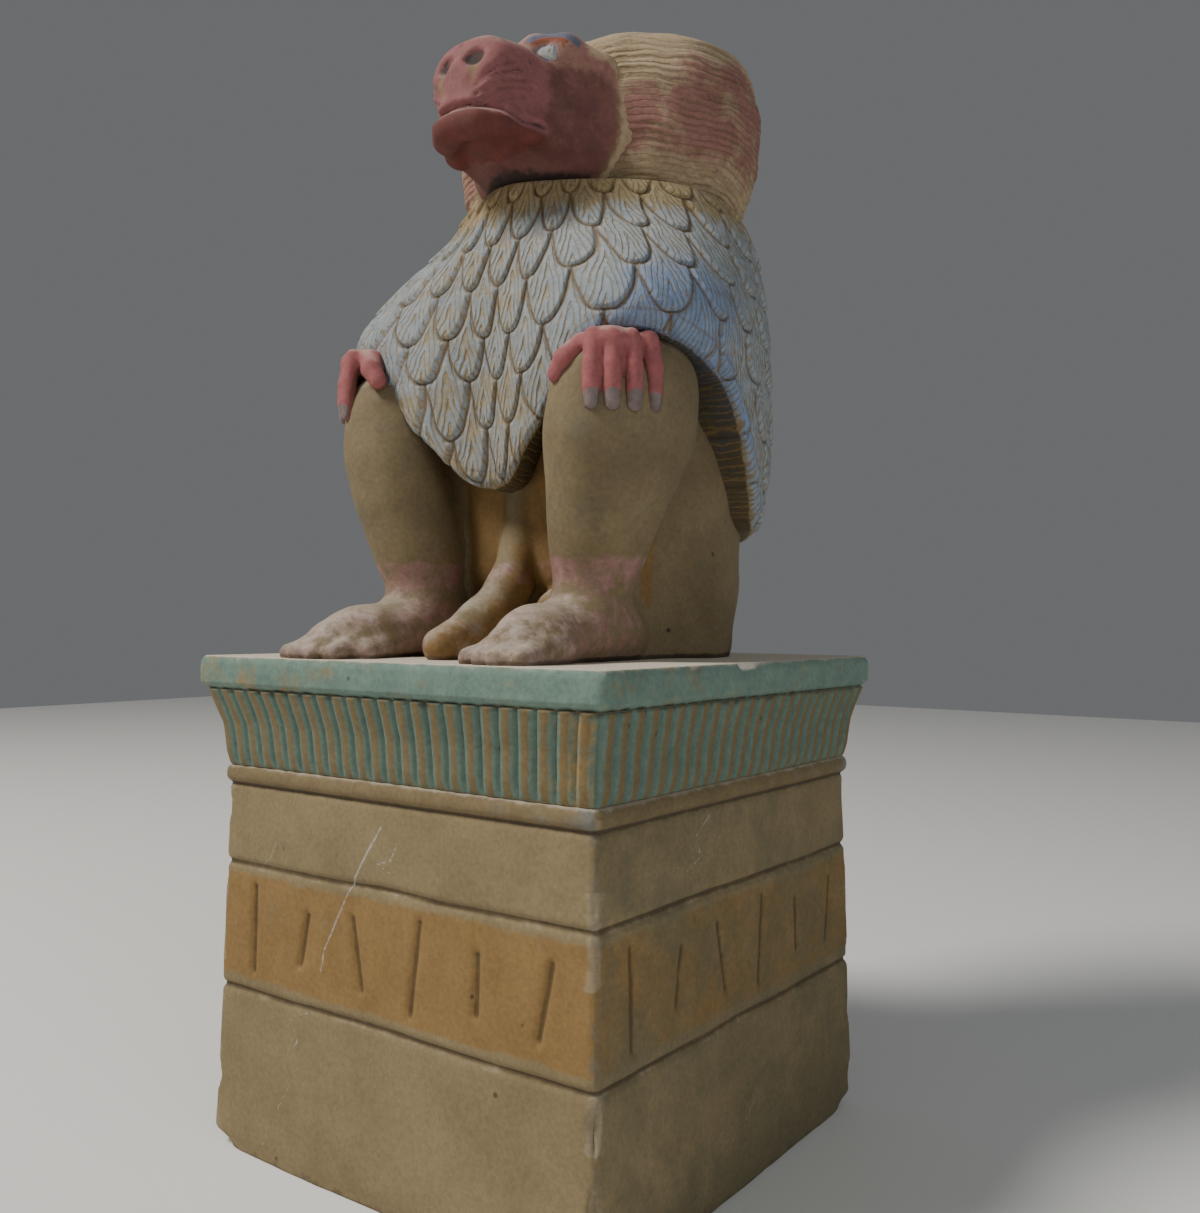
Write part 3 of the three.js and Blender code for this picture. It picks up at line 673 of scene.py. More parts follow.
# Where the lip's paint ends, by how far forward
MOUTH_PLACES = [0, 13, 22, 25.8, 29.6, 32, 34, 37]
MOUTH_LEVELS = [119, 120.3, 121.5, 121.9, 122.5, 123.7, 124.4, 125]
NOSTRIL = [(4.6, -35.6, 135.2), (5.6, -36, 132.6), (4.6, -36.2, 130)]
NOSTRIL_DEPTH = 1.0
NOSTRIL_HOLE = ((4.5, -34.9, 137), (2.1, 2, 1.6))
NOSTRIL_HOLE_DEPTH = 1.7
WRINKLES = [
    [(6.6, -35.8, 130.7), (7.9, -34.9, 132.1), (9.3, -33.8, 133.2), (10.8, -32.2, 134.6), (11.8, -29.8, 136)],
    [(5.9, -36, 129.5), (9, -34.1, 131.4), (10.6, -32.5, 132.5), (12.4, -27.8, 134.7)],
    [(6, -35.8, 127.5), (9.2, -33.7, 129.9), (10.9, -31.8, 130.9), (13.1, -25.5, 132.7)],
    [(7, -35.2, 126.1), (9.6, -32.4, 128.9), (12.2, -28.1, 130.3), (13.6, -24, 131.2)],
    [(8.7, -33.1, 126), (10.8, -29.3, 128.2), (13.2, -24, 129.5)],
]
WRINKLE_DEPTH = 0.9
FACE_CORE = np.array([0, -16, 132.0])
EYE = ((11.8, -13, 142.6), (5, 4.6, 3.4))
EYE_RIM = [(10.6, -20, 141.9), (10.6, -18.4, 143.9), (12.2, -17.1, 144.7), (14.8, -16.6, 143.7),
           (15.8, -15.9, 142.3), (14.6, -16.2, 141), (12.8, -18.1, 140.4), (11.4, -20.2, 140.4),
           (10.6, -20, 141.9)]
EYE_RIM_DEPTH = 0.5
EYEBALL = ((13, -17.6, 142.4), (2.9, 2.4, 1.7))
PUPIL = (12.9, -17.6, 142.8)
BROW_LINE = [(8.2, -19.3, 145.7), (10, -16.5, 147.6), (14.8, -14.3, 147.2), (17, -12.5, 145.4)]
LID_LINE = [(9.2, -19.4, 144.8), (12.2, -16.2, 146), (15.6, -15, 145)]
EYE_CORNER = (10, -20, 143.5)
JOWL = (17, -6, 122)


def from_cut(points, line, depth):
    """How far each point is from a line cut straight into the face"""
    line = np.array(line, float)
    inward = FACE_CORE - line
    inward = inward / length(inward)[:, None]
    return np.minimum(from_line(points, line), from_line(points, line + 0.8 * depth * inward))


def head_form(points):
    q = folded(points)
    y = np.clip(q[:, 1], MUZZLE[0, 0], MUZZLE[-1, 0])
    half, low, high = (along(y, MUZZLE[:, 0], MUZZLE[:, c]) for c in (1, 2, 3))
    rise = (high - low) / 2
    middle = (low + high) / 2
    power = JAW_SQUARENESS + (MUZZLE_SQUARENESS - JAW_SQUARENESS) * ease(q[:, 2] - middle, -4, 3)
    reach = (np.abs(q[:, 0] / half) ** power + np.abs((q[:, 2] - middle) / rise) ** power) ** (1 / power)
    form = (reach - 1) * np.minimum(half, rise)
    form = kept_within(form, MUZZLE_END - q[:, 1], 4)
    form = kept_within(form, q[:, 1] - MUZZLE_BACK, 4)
    form = joined(form, egg(q, *SKULL), 5)
    form = joined(form, limb(q, BROW, 4), 3.5)
    form = joined(form, limb(q, LOWER_LIP, 4), 4)
    form = joined(form, egg(q, *EYE), 0.8)
    form = form + MOUTH_DEPTH * np.exp(-(from_cut(q, MOUTH, MOUTH_DEPTH) / 0.8) ** 2)
    form = form + NOSTRIL_DEPTH * np.exp(-(from_line(q, NOSTRIL) / 1.8) ** 2)
    form = form + NOSTRIL_HOLE_DEPTH * np.exp(-(np.maximum(egg(q, *NOSTRIL_HOLE), 0) / 0.7) ** 2)
    form = form + EYE_RIM_DEPTH * np.exp(-(from_line(q, EYE_RIM) / 0.6) ** 2)
    for line in WRINKLES:
        form = form + WRINKLE_DEPTH * np.exp(-(from_cut(q, line, WRINKLE_DEPTH) / 0.6) ** 2)
    return form + 0.12 * grain(points, 5, 21)


def build_head():
    middle = [(0, y, (low + high) / 2, min(half, (high - low) / 2)) for y, half, low, high in MUZZLE]
    roof = [(0, y, high - 8, 8) for y, half, low, high in MUZZLE[2:]]
    jaw = [(0, y, low + 7, 7) for y, half, low, high in MUZZLE]
    seeds = [[(x, max(y, MUZZLE_END + r), z, r) for x, y, z, r in line] for line in (middle, roof, jaw)]
    seeds += both_sides(BROW, LOWER_LIP)
    mesh = skinned("head", seeds, [SKULL], HEAD_GRID, head_form)
    points = corners_of(mesh)
    q = folded(points)
    x, y, z = q.T
    mouth_level = along(-y, MOUTH_PLACES, MOUTH_LEVELS)
    below_mouth = ease(mouth_level - z, 0, 1) * (y < -6)
    cheek = ease(y, -27, -16)
    jowl = np.exp(-(length(q - JOWL) / 8) ** 2)
    paint_map(mesh, "pink", np.clip(0.8 - 0.35 * cheek + 0.25 * jowl, 0, 1))
    paint_map(mesh, "brown", np.clip(0.62 * cheek * (1 - 0.6 * ease(y, -8, 2)) * ease(-z, -143, -136)
                                     + 0.5 * below_mouth * ease(y, -27, -16), 0, 1))
    lip = below_mouth * ease(z, 115.5, 119) * (1 - 0.8 * ease(y, -26, -18))
    paint_map(mesh, "lip", lip)
    # painted shade under the jaw and inside the nostrils
    under = below_mouth * ease(-z, -119, -112)
    nose = 0.55 * np.exp(-(np.maximum(egg(q, *NOSTRIL_HOLE), 0) / 1.1) ** 2)
    paint_map(mesh, "painted_shade", np.clip(under * ease(-y, -4, 6) + nose, 0, 1))
    paint_map(mesh, "ochre", 0.62 * np.exp(-(from_line(q, NOSTRIL) / 2.0) ** 2)
              + 0.4 * np.exp(-(length(q - EYE_CORNER) / 5) ** 2))
    paint_map(mesh, "olive", np.clip(0.75 * ease(y, -9, -1) + 0.35 * ease(-z, -116, -110) * cheek, 0, 1))
    paint_map(mesh, "hair", np.clip(ease(y, -7, -1) + ease(y, -14, -6) * ease(z, 138, 146), 0, 1))
    paint_map(mesh, "eye", np.maximum(egg(q, *EYEBALL), 0))
    paint_map(mesh, "iris", length(q - PUPIL))
    paint_map(mesh, "eye_rim", from_cut(q, EYE_RIM, EYE_RIM_DEPTH))
    paint_map(mesh, "brow", np.exp(-(from_line(q, BROW_LINE) / 1.2) ** 2))
    paint_map(mesh, "orange", 0.9 * np.exp(-(from_line(q, LID_LINE) / 0.9) ** 2))
    crease = np.minimum.reduce([from_cut(q, line, WRINKLE_DEPTH) for line in WRINKLES])
    paint_map(mesh, "crease", crease)
    paint_map(mesh, "mouth", from_cut(q, MOUTH, MOUTH_DEPTH))
    return mesh


# Legs, feet and haunches

SHIN = [(33, -22.5, 60, 11.8), (32, -23, 50, 10.6), (30.6, -21.3, 38.7, 9.6), (28.3, -18.8, 27.4, 8.9),
        (26, -17.5, 14, 8.7)]
CALF = [(36.5, -12.5, 60, 12), (35.8, -13.5, 50, 10.8), (33, -16, 39, 9), (29.5, -16.5, 27, 8)]
THIGH = [(35, -13, 63, 10.5), (31, 2, 66, 10), (27, 16, 62, 12)]
FOOT = [(26, -11, 5.5, 9.2), (26.3, -25, 6, 8.6), (27, -38, 4.4, 8.2), (28, -45.5, 2.6, 7.2)]
FOOT_FLAT = 0.85
TOES = [
    [(21.8, -39, 3.6, 3.2), (21.2, -46, 2.3, 2.7), (20.8, -52.6, 1.1, 2.3)],
    [(25.8, -40, 3.8, 3.2), (25.8, -47, 2.5, 2.8), (25.6, -54, 1.1, 2.3)],
    [(30, -40, 3.8, 3.2), (30.2, -47.5, 2.5, 2.8), (30.4, -54.6, 1.1, 2.3)],
    [(34, -39, 3.4, 3.1), (34.4, -46.5, 2.3, 2.6), (34.8, -53.4, 1, 2.2)],
]
BIG_TOE = [(19.5, -32, 3, 3), (18.4, -39, 2.2, 2.6), (17.8, -45.5, 1.3, 2.2)]
HAUNCH = [(23, 21.5, 4, 13.4), (23.2, 20.5, 20, 13.4), (23.5, 17.5, 38, 15.2), (23.5, 16, 50, 15.4),
          (23, 16, 58, 14.4)]
HAUNCH_DEPTH = 1.4
BELLY = [(0, 18, 2, 25), (0, 17, 30, 26), (0, 14, 62, 27)]
# Stone left standing between the shins, and between each shin and its haunch
WALL = [(9, 0.5, 24, 13.5), (9, 0, 60, 15)]
WEB = [(24, -1.05, 0, 7), (25, -1.05, 58, 8)]
WEB_DEPTH = 1.9
HAUNCH_SPREAD = 6
WEB_SPREAD = 5
# The body runs a little way into the slab
CUT_LEVEL = -0.6
MEMBER = [(0, -10.5, 46, 4.4), (0, -11.5, 26, 4.2), (0, -15.5, 17, 4.5), (0, -25, 8.4, 4.9), (0, -39, 3, 4.3)]
MEMBER_REACH = 8
BOSS = ((11, -9, 8), (7, 8, 9))


def leg_form(q):
    form = joined(limb(q, SHIN, 8), limb(q, CALF, 8), 5)
    form = joined(form, limb(q, THIGH, 6), 5)
    form = joined(form, limb(q, FOOT, 5, FOOT_FLAT), 6)
    for toe in [*TOES, BIG_TOE]:
        form = joined(form, limb(q, toe, 1), 2)
    return form


def haunch_form(q):
    deep = q / np.array([1, HAUNCH_DEPTH, 1])
    form = limb(deep, [(x, y / HAUNCH_DEPTH, z, r) for x, y, z, r in HAUNCH], 8)
    form = joined(form, limb(q, BELLY, 8), 6)
    return joined(form, limb(q / np.array([1, WEB_DEPTH, 1]), WEB), 3)


def member_form(q):
    form = joined(limb(q, WALL), limb(q, MEMBER, 5), 2)
    return joined(form, egg(q, *BOSS), 1.2)


def body_form(points):
    q = folded(points)
    form = joined(leg_form(q), haunch_form(q), 2.5)
    form = joined(form, member_form(q), 2)
    return form + 0.18 * grain(points, 7, 31) + 0.08 * grain(points, 2.5, 32)


def build_body():
    seeds = both_sides(SHIN, CALF, THIGH, FOOT, BIG_TOE, *TOES)
    seeds += both_sides(*[[(x, y + reach, z, r) for x, y, z, r in HAUNCH]
                          for reach in (-HAUNCH_SPREAD, 0, HAUNCH_SPREAD)])
    seeds += [BELLY, MEMBER]
    seeds += both_sides(WALL, [(x, y + reach, z, r) for x, y, z, r in WEB
                               for reach in (-WEB_SPREAD, WEB_SPREAD)])
    eggs = [((side * BOSS[0][0], *BOSS[0][1:]), BOSS[1]) for side in (1, -1)]
    mesh = skinned("body", seeds, eggs, BODY_GRID, body_form)
    cut_level(mesh, CUT_LEVEL)
    points = corners_of(mesh)
    q = folded(points)
    x, y, z = q.T
    leg, haunch, member = leg_form(q), haunch_form(q), member_form(q)
    on_leg = ease(-leg, -1.6, -0.2)
    foot = ease(-z, -16, -8) * on_leg * ease(-y, 0, 14)
    ankle = ease(-z, -25, -22) * ease(z, 6, 20) * ease(-y, 4, 16)
    on_member = ease(-member, -1, 0) * ease(z, 15, 18)
    paint_map(mesh, "pink", np.clip(0.42 * foot + 0.5 * ankle * on_leg + 0.4 * ankle * on_member, 0, 1))
    between = x < MEMBER_REACH
    paint_map(mesh, "dust", np.clip(
        0.45 * foot * ease(-y, 26, 44) + 0.4 * ease(-y, 20, 34) * between, 0, 1))
    wall = ease(leg, 1.2, 3.5) * ease(-y, -2, 4)
    paint_map(mesh, "ochre", np.clip(0.75 * wall * (1 - 0.6 * np.exp(-(x / 5) ** 2))
                                     + 0.5 * ease(-y, 33, 39) * between, 0, 1))
    paint_map(mesh, "grey", 0.35 * on_leg * ease(z, 10, 26) + 0.3 * ease(y, 0, 12))
    # painted shade in the crease where each leg meets its haunch
    crease_shade = np.minimum(np.abs(leg - haunch), FAR_AWAY) + np.maximum(np.minimum(leg, haunch), -1) + 1
    paint_map(mesh, "crease_shade", np.where(z > 2, crease_shade, FAR_AWAY))
    # painted shade under the mantle's hem and where the toes meet the slab
    paint_map(mesh, "painted_shade", ease(z, 52, 64) * ease(y, -6, 6) + 0.7 * ease(-z, -1.8, -0.4) * ease(y, -44, -30))
    paint_map(mesh, "foot_line", np.abs(z - 0.2))
    return mesh


# Hands, each laid over its knee

KNEE_AXIS = (33, -22.5)
KNUCKLE_REACH = 11.8
FINGER_TURNS = [22, 43, 66, 93]
FINGER = [(-0.9, 69, 2), (0.2, 63, 2), (0.3, 58, 1.95), (0.1, 54.6, 1.8)]
FINGER_WIDTHS = [1, 1, 1, 1.2]
THUMB = [(32.8, -30.4, 68, 2.8), (30, -33, 65, 2.6), (27.8, -32.9, 62, 2.2)]
BACK_OF_HAND = [(38.6, -17.5, 68.4, 6.2), (37.6, -27.4, 68.2, 6.6)]
BACK_FLAT = 0.56
FAR_HAND_LIFT = 5
NAIL_OUT, NAIL_UP = 1.03, 0.6


def fingers():
    made = []
    for degrees, width in zip(FINGER_TURNS, FINGER_WIDTHS):
        turn = math.radians(degrees)
        made.append([(KNEE_AXIS[0] + (KNUCKLE_REACH + out) * math.sin(turn),
                      KNEE_AXIS[1] - (KNUCKLE_REACH + out) * math.cos(turn), level, radius * width)
                     for out, level, radius in FINGER])
    return made


def hand_form(q):
    form = limb(q, BACK_OF_HAND, 5, BACK_FLAT)
    for finger in [*fingers(), THUMB]:
        form = joined(form, limb(q, finger, 0.3), 0.5)
    return form + 0.1 * grain(q, 4, 41)


def build_hand(name, side):
    mesh = skinned(name, [*fingers(), THUMB, BACK_OF_HAND], [], HAND_GRID, hand_form)
    points = corners_of(mesh)
    paint_map(mesh, "pink", 0.78 + 0.1 * grain(points, 5, 42))
    tips = [finger[-1] for finger in fingers()]
    nail = np.minimum.reduce(
        [length(points - np.array([x * NAIL_OUT, y * NAIL_OUT, z + NAIL_UP])) for x, y, z, r in tips])
    paint_map(mesh, "nail", ease(-nail, -3.2, -1.6))
    # painted shadow along the hand's edges where it lies on the shin
    paint_map(mesh, "shin_shadow_line", np.maximum(leg_form(points), 0))
    if side < 0:
        points = points * np.array([-1, 1, 1]) + np.array([0, 0, FAR_HAND_LIFT])
        set_corners(mesh, points)
        bm = bmesh.new()
        bm.from_mesh(mesh)
        bmesh.ops.reverse_faces(bm, faces=bm.faces)
        bm.to_mesh(mesh)
        bm.free()
    return mesh


# Plinth, its levels from the ground

SLAB_WIDTH = 120
SLAB_THICKNESS = 7.75
BLOCK_HEIGHT = 86
BLOCK_TOP_WIDTH = 110
BLOCK_FOOT_WIDTH = 114
ROLL_HEIGHT = 4.5
ROLL_RELIEF = 1.4
FLUTES_PER_FACE = 24
FLUTE_RELIEF = 1.2
LINE_DROPS = (18.5, 48)
LINE_DEPTH = 0.9
LINE_WIDTH = 2.0
STROKES_PER_FACE = 6
STROKE_WIDTH = 2.4
STROKE_MARGIN = 12
STROKE_SHARES = (0.66, 0.4, 0.52)
STROKE_SLANTS = (0, 12, -12, 6)
STROKE_DEPTH = 0.9
ROLL_LINE_DEPTH = 0.5
FOOT_WEAR = 4.5
CHIP_DEPTH = 1.6
BLOCK_CORNER = 1.8
SLAB_CORNER, FLUTE_CORNER = 1.7, 1.6
CENTRE_CORNER = 2.0
SLAB_CHIP_DEPTH = 1.3


def square_round(share, columns):
    """Which face a share of the way round is on, and how far along it from -1 to 1"""
    starts = np.cumsum([0, *columns]) / sum(columns)
    face = np.clip(np.searchsorted(starts, share, side="right") - 1, 0, 3)
    across = (share - starts[face]) / (starts[face + 1] - starts[face]) * 2 - 1
    return face, np.clip(across, -1, 1)


def on_square(face, across, half, corner, out):
    """Points on a square with rounded corners, pushed out square to its surface"""
    along_face = across * half
    over = np.clip(np.abs(along_face) - (half - corner), 0, corner)
    bend = over / corner * math.pi / 4
    side = np.sign(along_face)
    on_corner = side * (half - corner + corner * np.sin(bend))
    x = np.where(over > 0, on_corner, along_face) + side * np.sin(bend) * out
    back = -half + corner * (1 - np.cos(bend)) - np.cos(bend) * out
    turn = face * math.pi / 2
    return x * np.cos(turn) - back * np.sin(turn), x * np.sin(turn) + back * np.cos(turn)


def block_half(level):
    return (BLOCK_FOOT_WIDTH + (BLOCK_TOP_WIDTH - BLOCK_FOOT_WIDTH) * level / BLOCK_HEIGHT) / 2


def strokes_from(face, x, level):
    """How far a point of a face is from the nearest stroke of the band"""
    upper, lower = (BLOCK_HEIGHT - drop for drop in LINE_DROPS)
    middle = (upper + lower) / 2
    run = 2 * block_half(middle) - 2 * STROKE_MARGIN
    nearest = np.full(len(x), FAR_AWAY)
    for stroke in range(STROKES_PER_FACE):
        slant = math.radians(STROKE_SLANTS[stroke % len(STROKE_SLANTS)])
        reach = (upper - lower) * STROKE_SHARES[stroke % len(STROKE_SHARES)] / 2
        dx = x - (-run / 2 + run * stroke / (STROKES_PER_FACE - 1))
        dz = level - middle
        on = np.clip(dx * math.sin(slant) + dz * math.cos(slant), -reach, reach)
        nearest = np.minimum(nearest, np.hypot(dx - on * math.sin(slant), dz - on * math.cos(slant)))
    return nearest


# A face, the points of a scratch on it and its width
SCRATCHES = [
    (0, [(-2, 81), (-8, 72), (-13, 63), (-19, 52), (-20, 47)], 0.62),
    (0, [(-36, 74), (-38, 70), (-41, 68)], 0.5),
    (0, [(3, 78), (1, 74), (-3, 73), (2, 71)], 0.55),
    (0, [(-38, 82), (-33, 84), (-28, 82)], 0.42),
    (0, [(-30, 8), (-33, 14), (-29, 20), (-32, 26), (-27, 30), (-30, 35), (-24, 37)], 0.45),
    (0, [(-44, 6), (-38, 4), (-36, 10)], 0.42),
    (1, [(-14, 84), (-20, 80), (-17, 76), (-24, 73)], 0.5),
    (1, [(-8, 79), (-30, 74)], 0.4),
    (1, [(-40, 72), (-36, 66), (-38, 60)], 0.45),
    (1, [(-20, 44), (-14, 40)], 0.4),
    (1, [(-12, 14), (-4, 12), (4, 18)], 0.42),
]


def block_skin(round_share, down):
    face, across = square_round(round_share, BLOCK_COLUMNS)
    roll_top = BLOCK_HEIGHT + ROLL_HEIGHT
    level = np.interp(down, [0, 0.04, 0.13, 0.17, 0.97, 0.985, 1],
                      [roll_top, roll_top, BLOCK_HEIGHT, BLOCK_HEIGHT - 3, 0.8, 0, 0])
    half = block_half(np.clip(level, 0, BLOCK_HEIGHT))
    x = across * half
    centre = np.stack([*on_square(face, across, half, CENTRE_CORNER, 0), level], -1)
    rolled = np.clip((level - BLOCK_HEIGHT) / ROLL_HEIGHT, 0, 1)
    bulge = ROLL_RELIEF * np.sqrt(np.maximum(1 - (2 * rolled - 1) ** 2, 0)) - 0.4
    out = np.where(level > BLOCK_HEIGHT, bulge, 0.0)
    line = np.full(len(level), FAR_AWAY)
    for drop in LINE_DROPS:
        wander = 0.5 * grain(centre, 16, 51)
        line = np.minimum(line, np.abs(level + wander - (BLOCK_HEIGHT - drop)))
    out -= LINE_DEPTH * np.exp(-(line / (LINE_WIDTH * 0.4)) ** 2)
    stroke = strokes_from(face, x, level)
    out -= STROKE_DEPTH * np.exp(-(stroke / (STROKE_WIDTH * 0.42)) ** 2)
    under_roll = np.abs(level - BLOCK_HEIGHT)
    out -= ROLL_LINE_DEPTH * np.exp(-(under_roll / 0.8) ** 2)
    out += 0.35 * grain(centre, 24, 52) + 0.12 * grain(centre, 5, 53)
    chip = ease(grain(centre, 8, 54) + 0.9 * ease(np.abs(across), 0.93, 1.0) - 0.9, 0, 0.6)
    out -= CHIP_DEPTH * chip * (level < BLOCK_HEIGHT)
    low = ease(-level, -FOOT_WEAR, 0)
    corner = BLOCK_CORNER + 5.0 * low + 0.8 * grain(centre, 9, 55)
    out -= (0.6 + 1.5 * ease(np.abs(across), 0.8, 1)) * low
    inward = np.where(down < 0.04, ease(down, 0, 0.03), np.where(down > 0.985, 1 - ease(down, 0.985, 1), 1))
    px, py = on_square(face, across, half, np.maximum(corner, 0.8), out)
    points = np.stack([px * inward, py * inward, level], -1)
    scratch = np.full(len(level), FAR_AWAY)
    spot = np.stack([x, np.zeros(len(x)), level], -1)
    for where, line_points, width in SCRATCHES:
        away = from_line(spot, [(a, 0, b) for a, b in line_points]) + 0.8 * (0.7 - width)
        scratch = np.where(face == where, np.minimum(scratch, away), scratch)
    edge = ease(np.abs(across), 0.9, 1)
    maps = {
        "line": line, "stroke": stroke, "scratch": scratch, "roll_line": under_roll,
        # painted light: the band a little warmer on the lit front face
        "orange": np.clip(ease(level, 39, 42) * ease(-level, -67, -64) * (0.55 + 0.1 * (face == 0)), 0, 1),
        "beige": ease(level, BLOCK_HEIGHT - 1, BLOCK_HEIGHT + 0.5),
        "blue": np.clip(0.35 * edge * (face < 2)
                        + 0.3 * ease(level, BLOCK_HEIGHT, BLOCK_HEIGHT + 1) * (across > 0.4), 0, 1),
        # painted shade: the side and back faces olive and darker than the front, and more olive towards the
        # bottom
        "olive": 0.45 * (face == 1) + 0.25 * (face > 1) + 0.2 * ease(-level, -20, 0),
        "dust": np.clip(chip + 0.6 * edge * (grain(centre, 6, 56) > 0.1), 0, 1),
        # painted shade along the foot of the block, where it stands on the floor
        "painted_shade": 0.4 * low,
    }
    return points, maps


BLOCK_COLUMNS = (190, 190, 66, 66)
CORNICE_COLUMNS = (264, 264, 120, 120)
# How far down the cornice's grid the slab's top ends and the flutes start
SHELF_SHARE = 0.22
FLUTE_SHARE = 0.46


def cornice_skin(round_share, down):
    face, across = square_round(round_share, CORNICE_COLUMNS)
    top = SLAB_TOP
    slab_foot = top - SLAB_THICKNESS
    foot = BLOCK_HEIGHT + ROLL_HEIGHT
    level = np.interp(down, [0, SHELF_SHARE + 0.03, 0.28, 0.4, 0.43, FLUTE_SHARE, 0.93, 1],
                      [top, top, top - 1.4, slab_foot + 1.4, slab_foot, slab_foot, foot, foot])
    centre = np.stack([*on_square(face, across, SLAB_WIDTH / 2, CENTRE_CORNER, 0), level], -1)
    rise = np.clip((level - foot) / (slab_foot - foot), 0, 1)
    block_half_top = BLOCK_TOP_WIDTH / 2
    ground = np.interp(rise, [0, 0.55, 1], [block_half_top, block_half_top + 0.9, SLAB_WIDTH / 2 - 2.2])
    ground = ground + 0.9 * rise * (rise - 0.4)
    on_slab = down < 0.44
    rounding = np.interp(down, [0, SHELF_SHARE, 0.25, 0.28, 0.34, 0.4, 0.43, 1],
                         [1.5, 1.5, 0.7, 0, -0.1, 0, 1.4, 1.4])
    half = np.where(on_slab, SLAB_WIDTH / 2 - rounding, ground)
    shelf = np.interp(down, [0, SHELF_SHARE], [0, 1])
    phase = across * FLUTES_PER_FACE / 2
    rib = np.abs(np.cos(np.pi * (phase + 0.5)))
    rounded_end = np.sqrt(np.clip((level - foot) / 3.4, 0, 1))
    fluted = (down >= FLUTE_SHARE) & (down < 0.94)
    out = np.where(fluted, FLUTE_RELIEF * np.sqrt(rib) * rounded_end, 0.0)
    out += 0.25 * grain(centre, 20, 61) + 0.12 * grain(centre, 4, 62)
    edge = np.exp(-((level - top) / 2.0) ** 2) * on_slab * (down > 0.2)
    chip = ease(grain(centre, 7, 63) - 0.35, 0, 0.5) * edge
    out -= SLAB_CHIP_DEPTH * chip
    inward = np.where(down < SHELF_SHARE, shelf, np.where(down > 0.96, 1 - ease(down, 0.96, 1), 1))
    corner = np.where(on_slab, SLAB_CORNER, FLUTE_CORNER) + 0.6 * grain(centre, 9, 64)
    px, py = on_square(face, across, half, corner, out * (down > 0.2))
    points = np.stack([px * inward, py * inward, level], -1)
    points[:, 2] -= np.where(down < 0.24, 0.12 * (1 + grain(points, 9, 65)), 0)
    groove = np.where(fluted, (1 - rib) * 2.0, FAR_AWAY)
    near = ease(across, -1.0, 0.2)
    maps = {
        "teal": np.clip(np.where(fluted, 0.95 - 0.5 * (face == 0) * ease(across, 0.45, 1.0), 0.0), 0, 1),
        "rib_line": groove,
        "turquoise": np.where(on_slab & (down > 0.25), 0.55 + 0.1 * near, 0),
        "dust": np.clip(np.where(down < 0.25, 0.8, 0) + chip, 0, 1),
        # painted shade at the top of the flutes under the slab's overhang, and on the slab's underside
        "painted_shade": (np.where(fluted, 0.5 * ease(level, slab_foot - 3, slab_foot), 0)
                 + 0.5 * ease(down, 0.4, 0.43) * on_slab),
    }
    return points, maps


# Finishes

# Thin grey-blue paint over cast plaster: chalky, rubbed to tan between its streaks, with painted shade inside
# the hem and under the chin
feather_paint = painted_plaster(
    "painted_plaster_feathers", ("#8f7f5f", "#a39372"),
    coats=[("blue", "#9aa3a8", "#84919c", 0.88, 6), ("deep_blue", "#6f87ad", "#7c90ac", 0.85, 5),
           ("ochre", "#957a4c", "#a58c60", 0.5, 5), ("painted_shade", "#40341f", "#2e2618", 0.8, 5)],
    lines=[("edge", 0.36, "#776040", 0.8), ("hem", 0.35, "#6b4f2c", 0.35)],
    comb=("combed", 1.3, "#8a7348", 0.6), dust=0.2)
# Combed hair of cast plaster under a tan wash with dull pink streaks, and painted shade on its underside
mane_paint = painted_plaster(
    "painted_plaster_mane", ("#a08a6a", "#b09a7c"),
    coats=[("pink", "#925a5a", "#7f4648", 0.78, 7), ("olive", "#6f6140", "#7c6d4a", 0.6, 7),
           ("hair", "#6b5538", "#7a6242", 0.4, 3), ("painted_shade", "#3a2e1e", "#2a2117", 0.8, 5)],
    comb=("combed", 1.7, "#65502f", 0.3), dust=0.3)
# Flesh-pink paint with a red lip: the smoothest coat, rubbed on the nose, with painted shade under the jaw
# and in the nostrils
face_paint = painted_plaster(
    "painted_plaster_face", ("#8f6a5a", "#9d7866"),
    coats=[("pink", "#93565a", "#7f4a4c", 0.85, 8), ("brown", "#6a4038", "#54332c", 0.8, 7),
           ("olive", "#74603f", "#84704e", 0.75, 7), ("ochre", "#85754c", "#746540", 0.85, 4),
           ("orange", "#8c4a28", "#7a3f22", 0.8, 3), ("lip", "#6a2f27", "#54281f", 0.88, 6),
           ("hair", "#a08a6a", "#b09a7c", 0.85, 4), ("brow", "#4a5870", "#5a6880", 0.85, 3),
           ("painted_shade", "#2a1c15", "#1e1510", 0.92, 6)],
    lines=[("crease", 0.3, "#5d3630", 0.5), ("mouth", 0.5, "#2b1a14", 0.85),
           ("eye", 0.4, "#a9aca6", 0.9), ("iris", 0.8, "#3d434b", 0.8), ("eye_rim", 0.36, "#46536a", 0.85)],
    speckle=0.2, dust=0.25)
# Bare tan cast with ochre wash: grainy and full of bubble pits, with painted shade under the hem, where the
# toes meet the slab and in the crease between each leg and haunch
body_paint = painted_plaster(
    "painted_plaster_body", ("#716145", "#847455"),
    coats=[("grey", "#6c6550", "#605b47", 0.6, 9), ("ochre", "#8f6c38", "#7d5d2f", 0.75, 7),
           ("pink", "#9c6a68", "#b08688", 0.75, 5), ("dust", "#b3a49a", "#a6968a", 0.6, 5),
           ("painted_shade", "#362a1b", "#282015", 0.85, 5)],
    lines=[("crease_shade", 0.6, "#3d3020", 0.6), ("foot_line", 0.6, "#3a2e1e", 0.5)],
    pits=0.85)
# Flesh-pink hands with grey nails, and a painted shadow where they lie on the shins
hand_paint = painted_plaster(
    "painted_plaster_hands", ("#8f7358", "#9c8066"),
    coats=[("pink", "#a8585f", "#9a5054", 0.85, 6), ("nail", "#7f7a76", "#6d6864", 0.85, 3)],
    lines=[("shin_shadow_line", 0.45, "#4f3826", 0.5)])
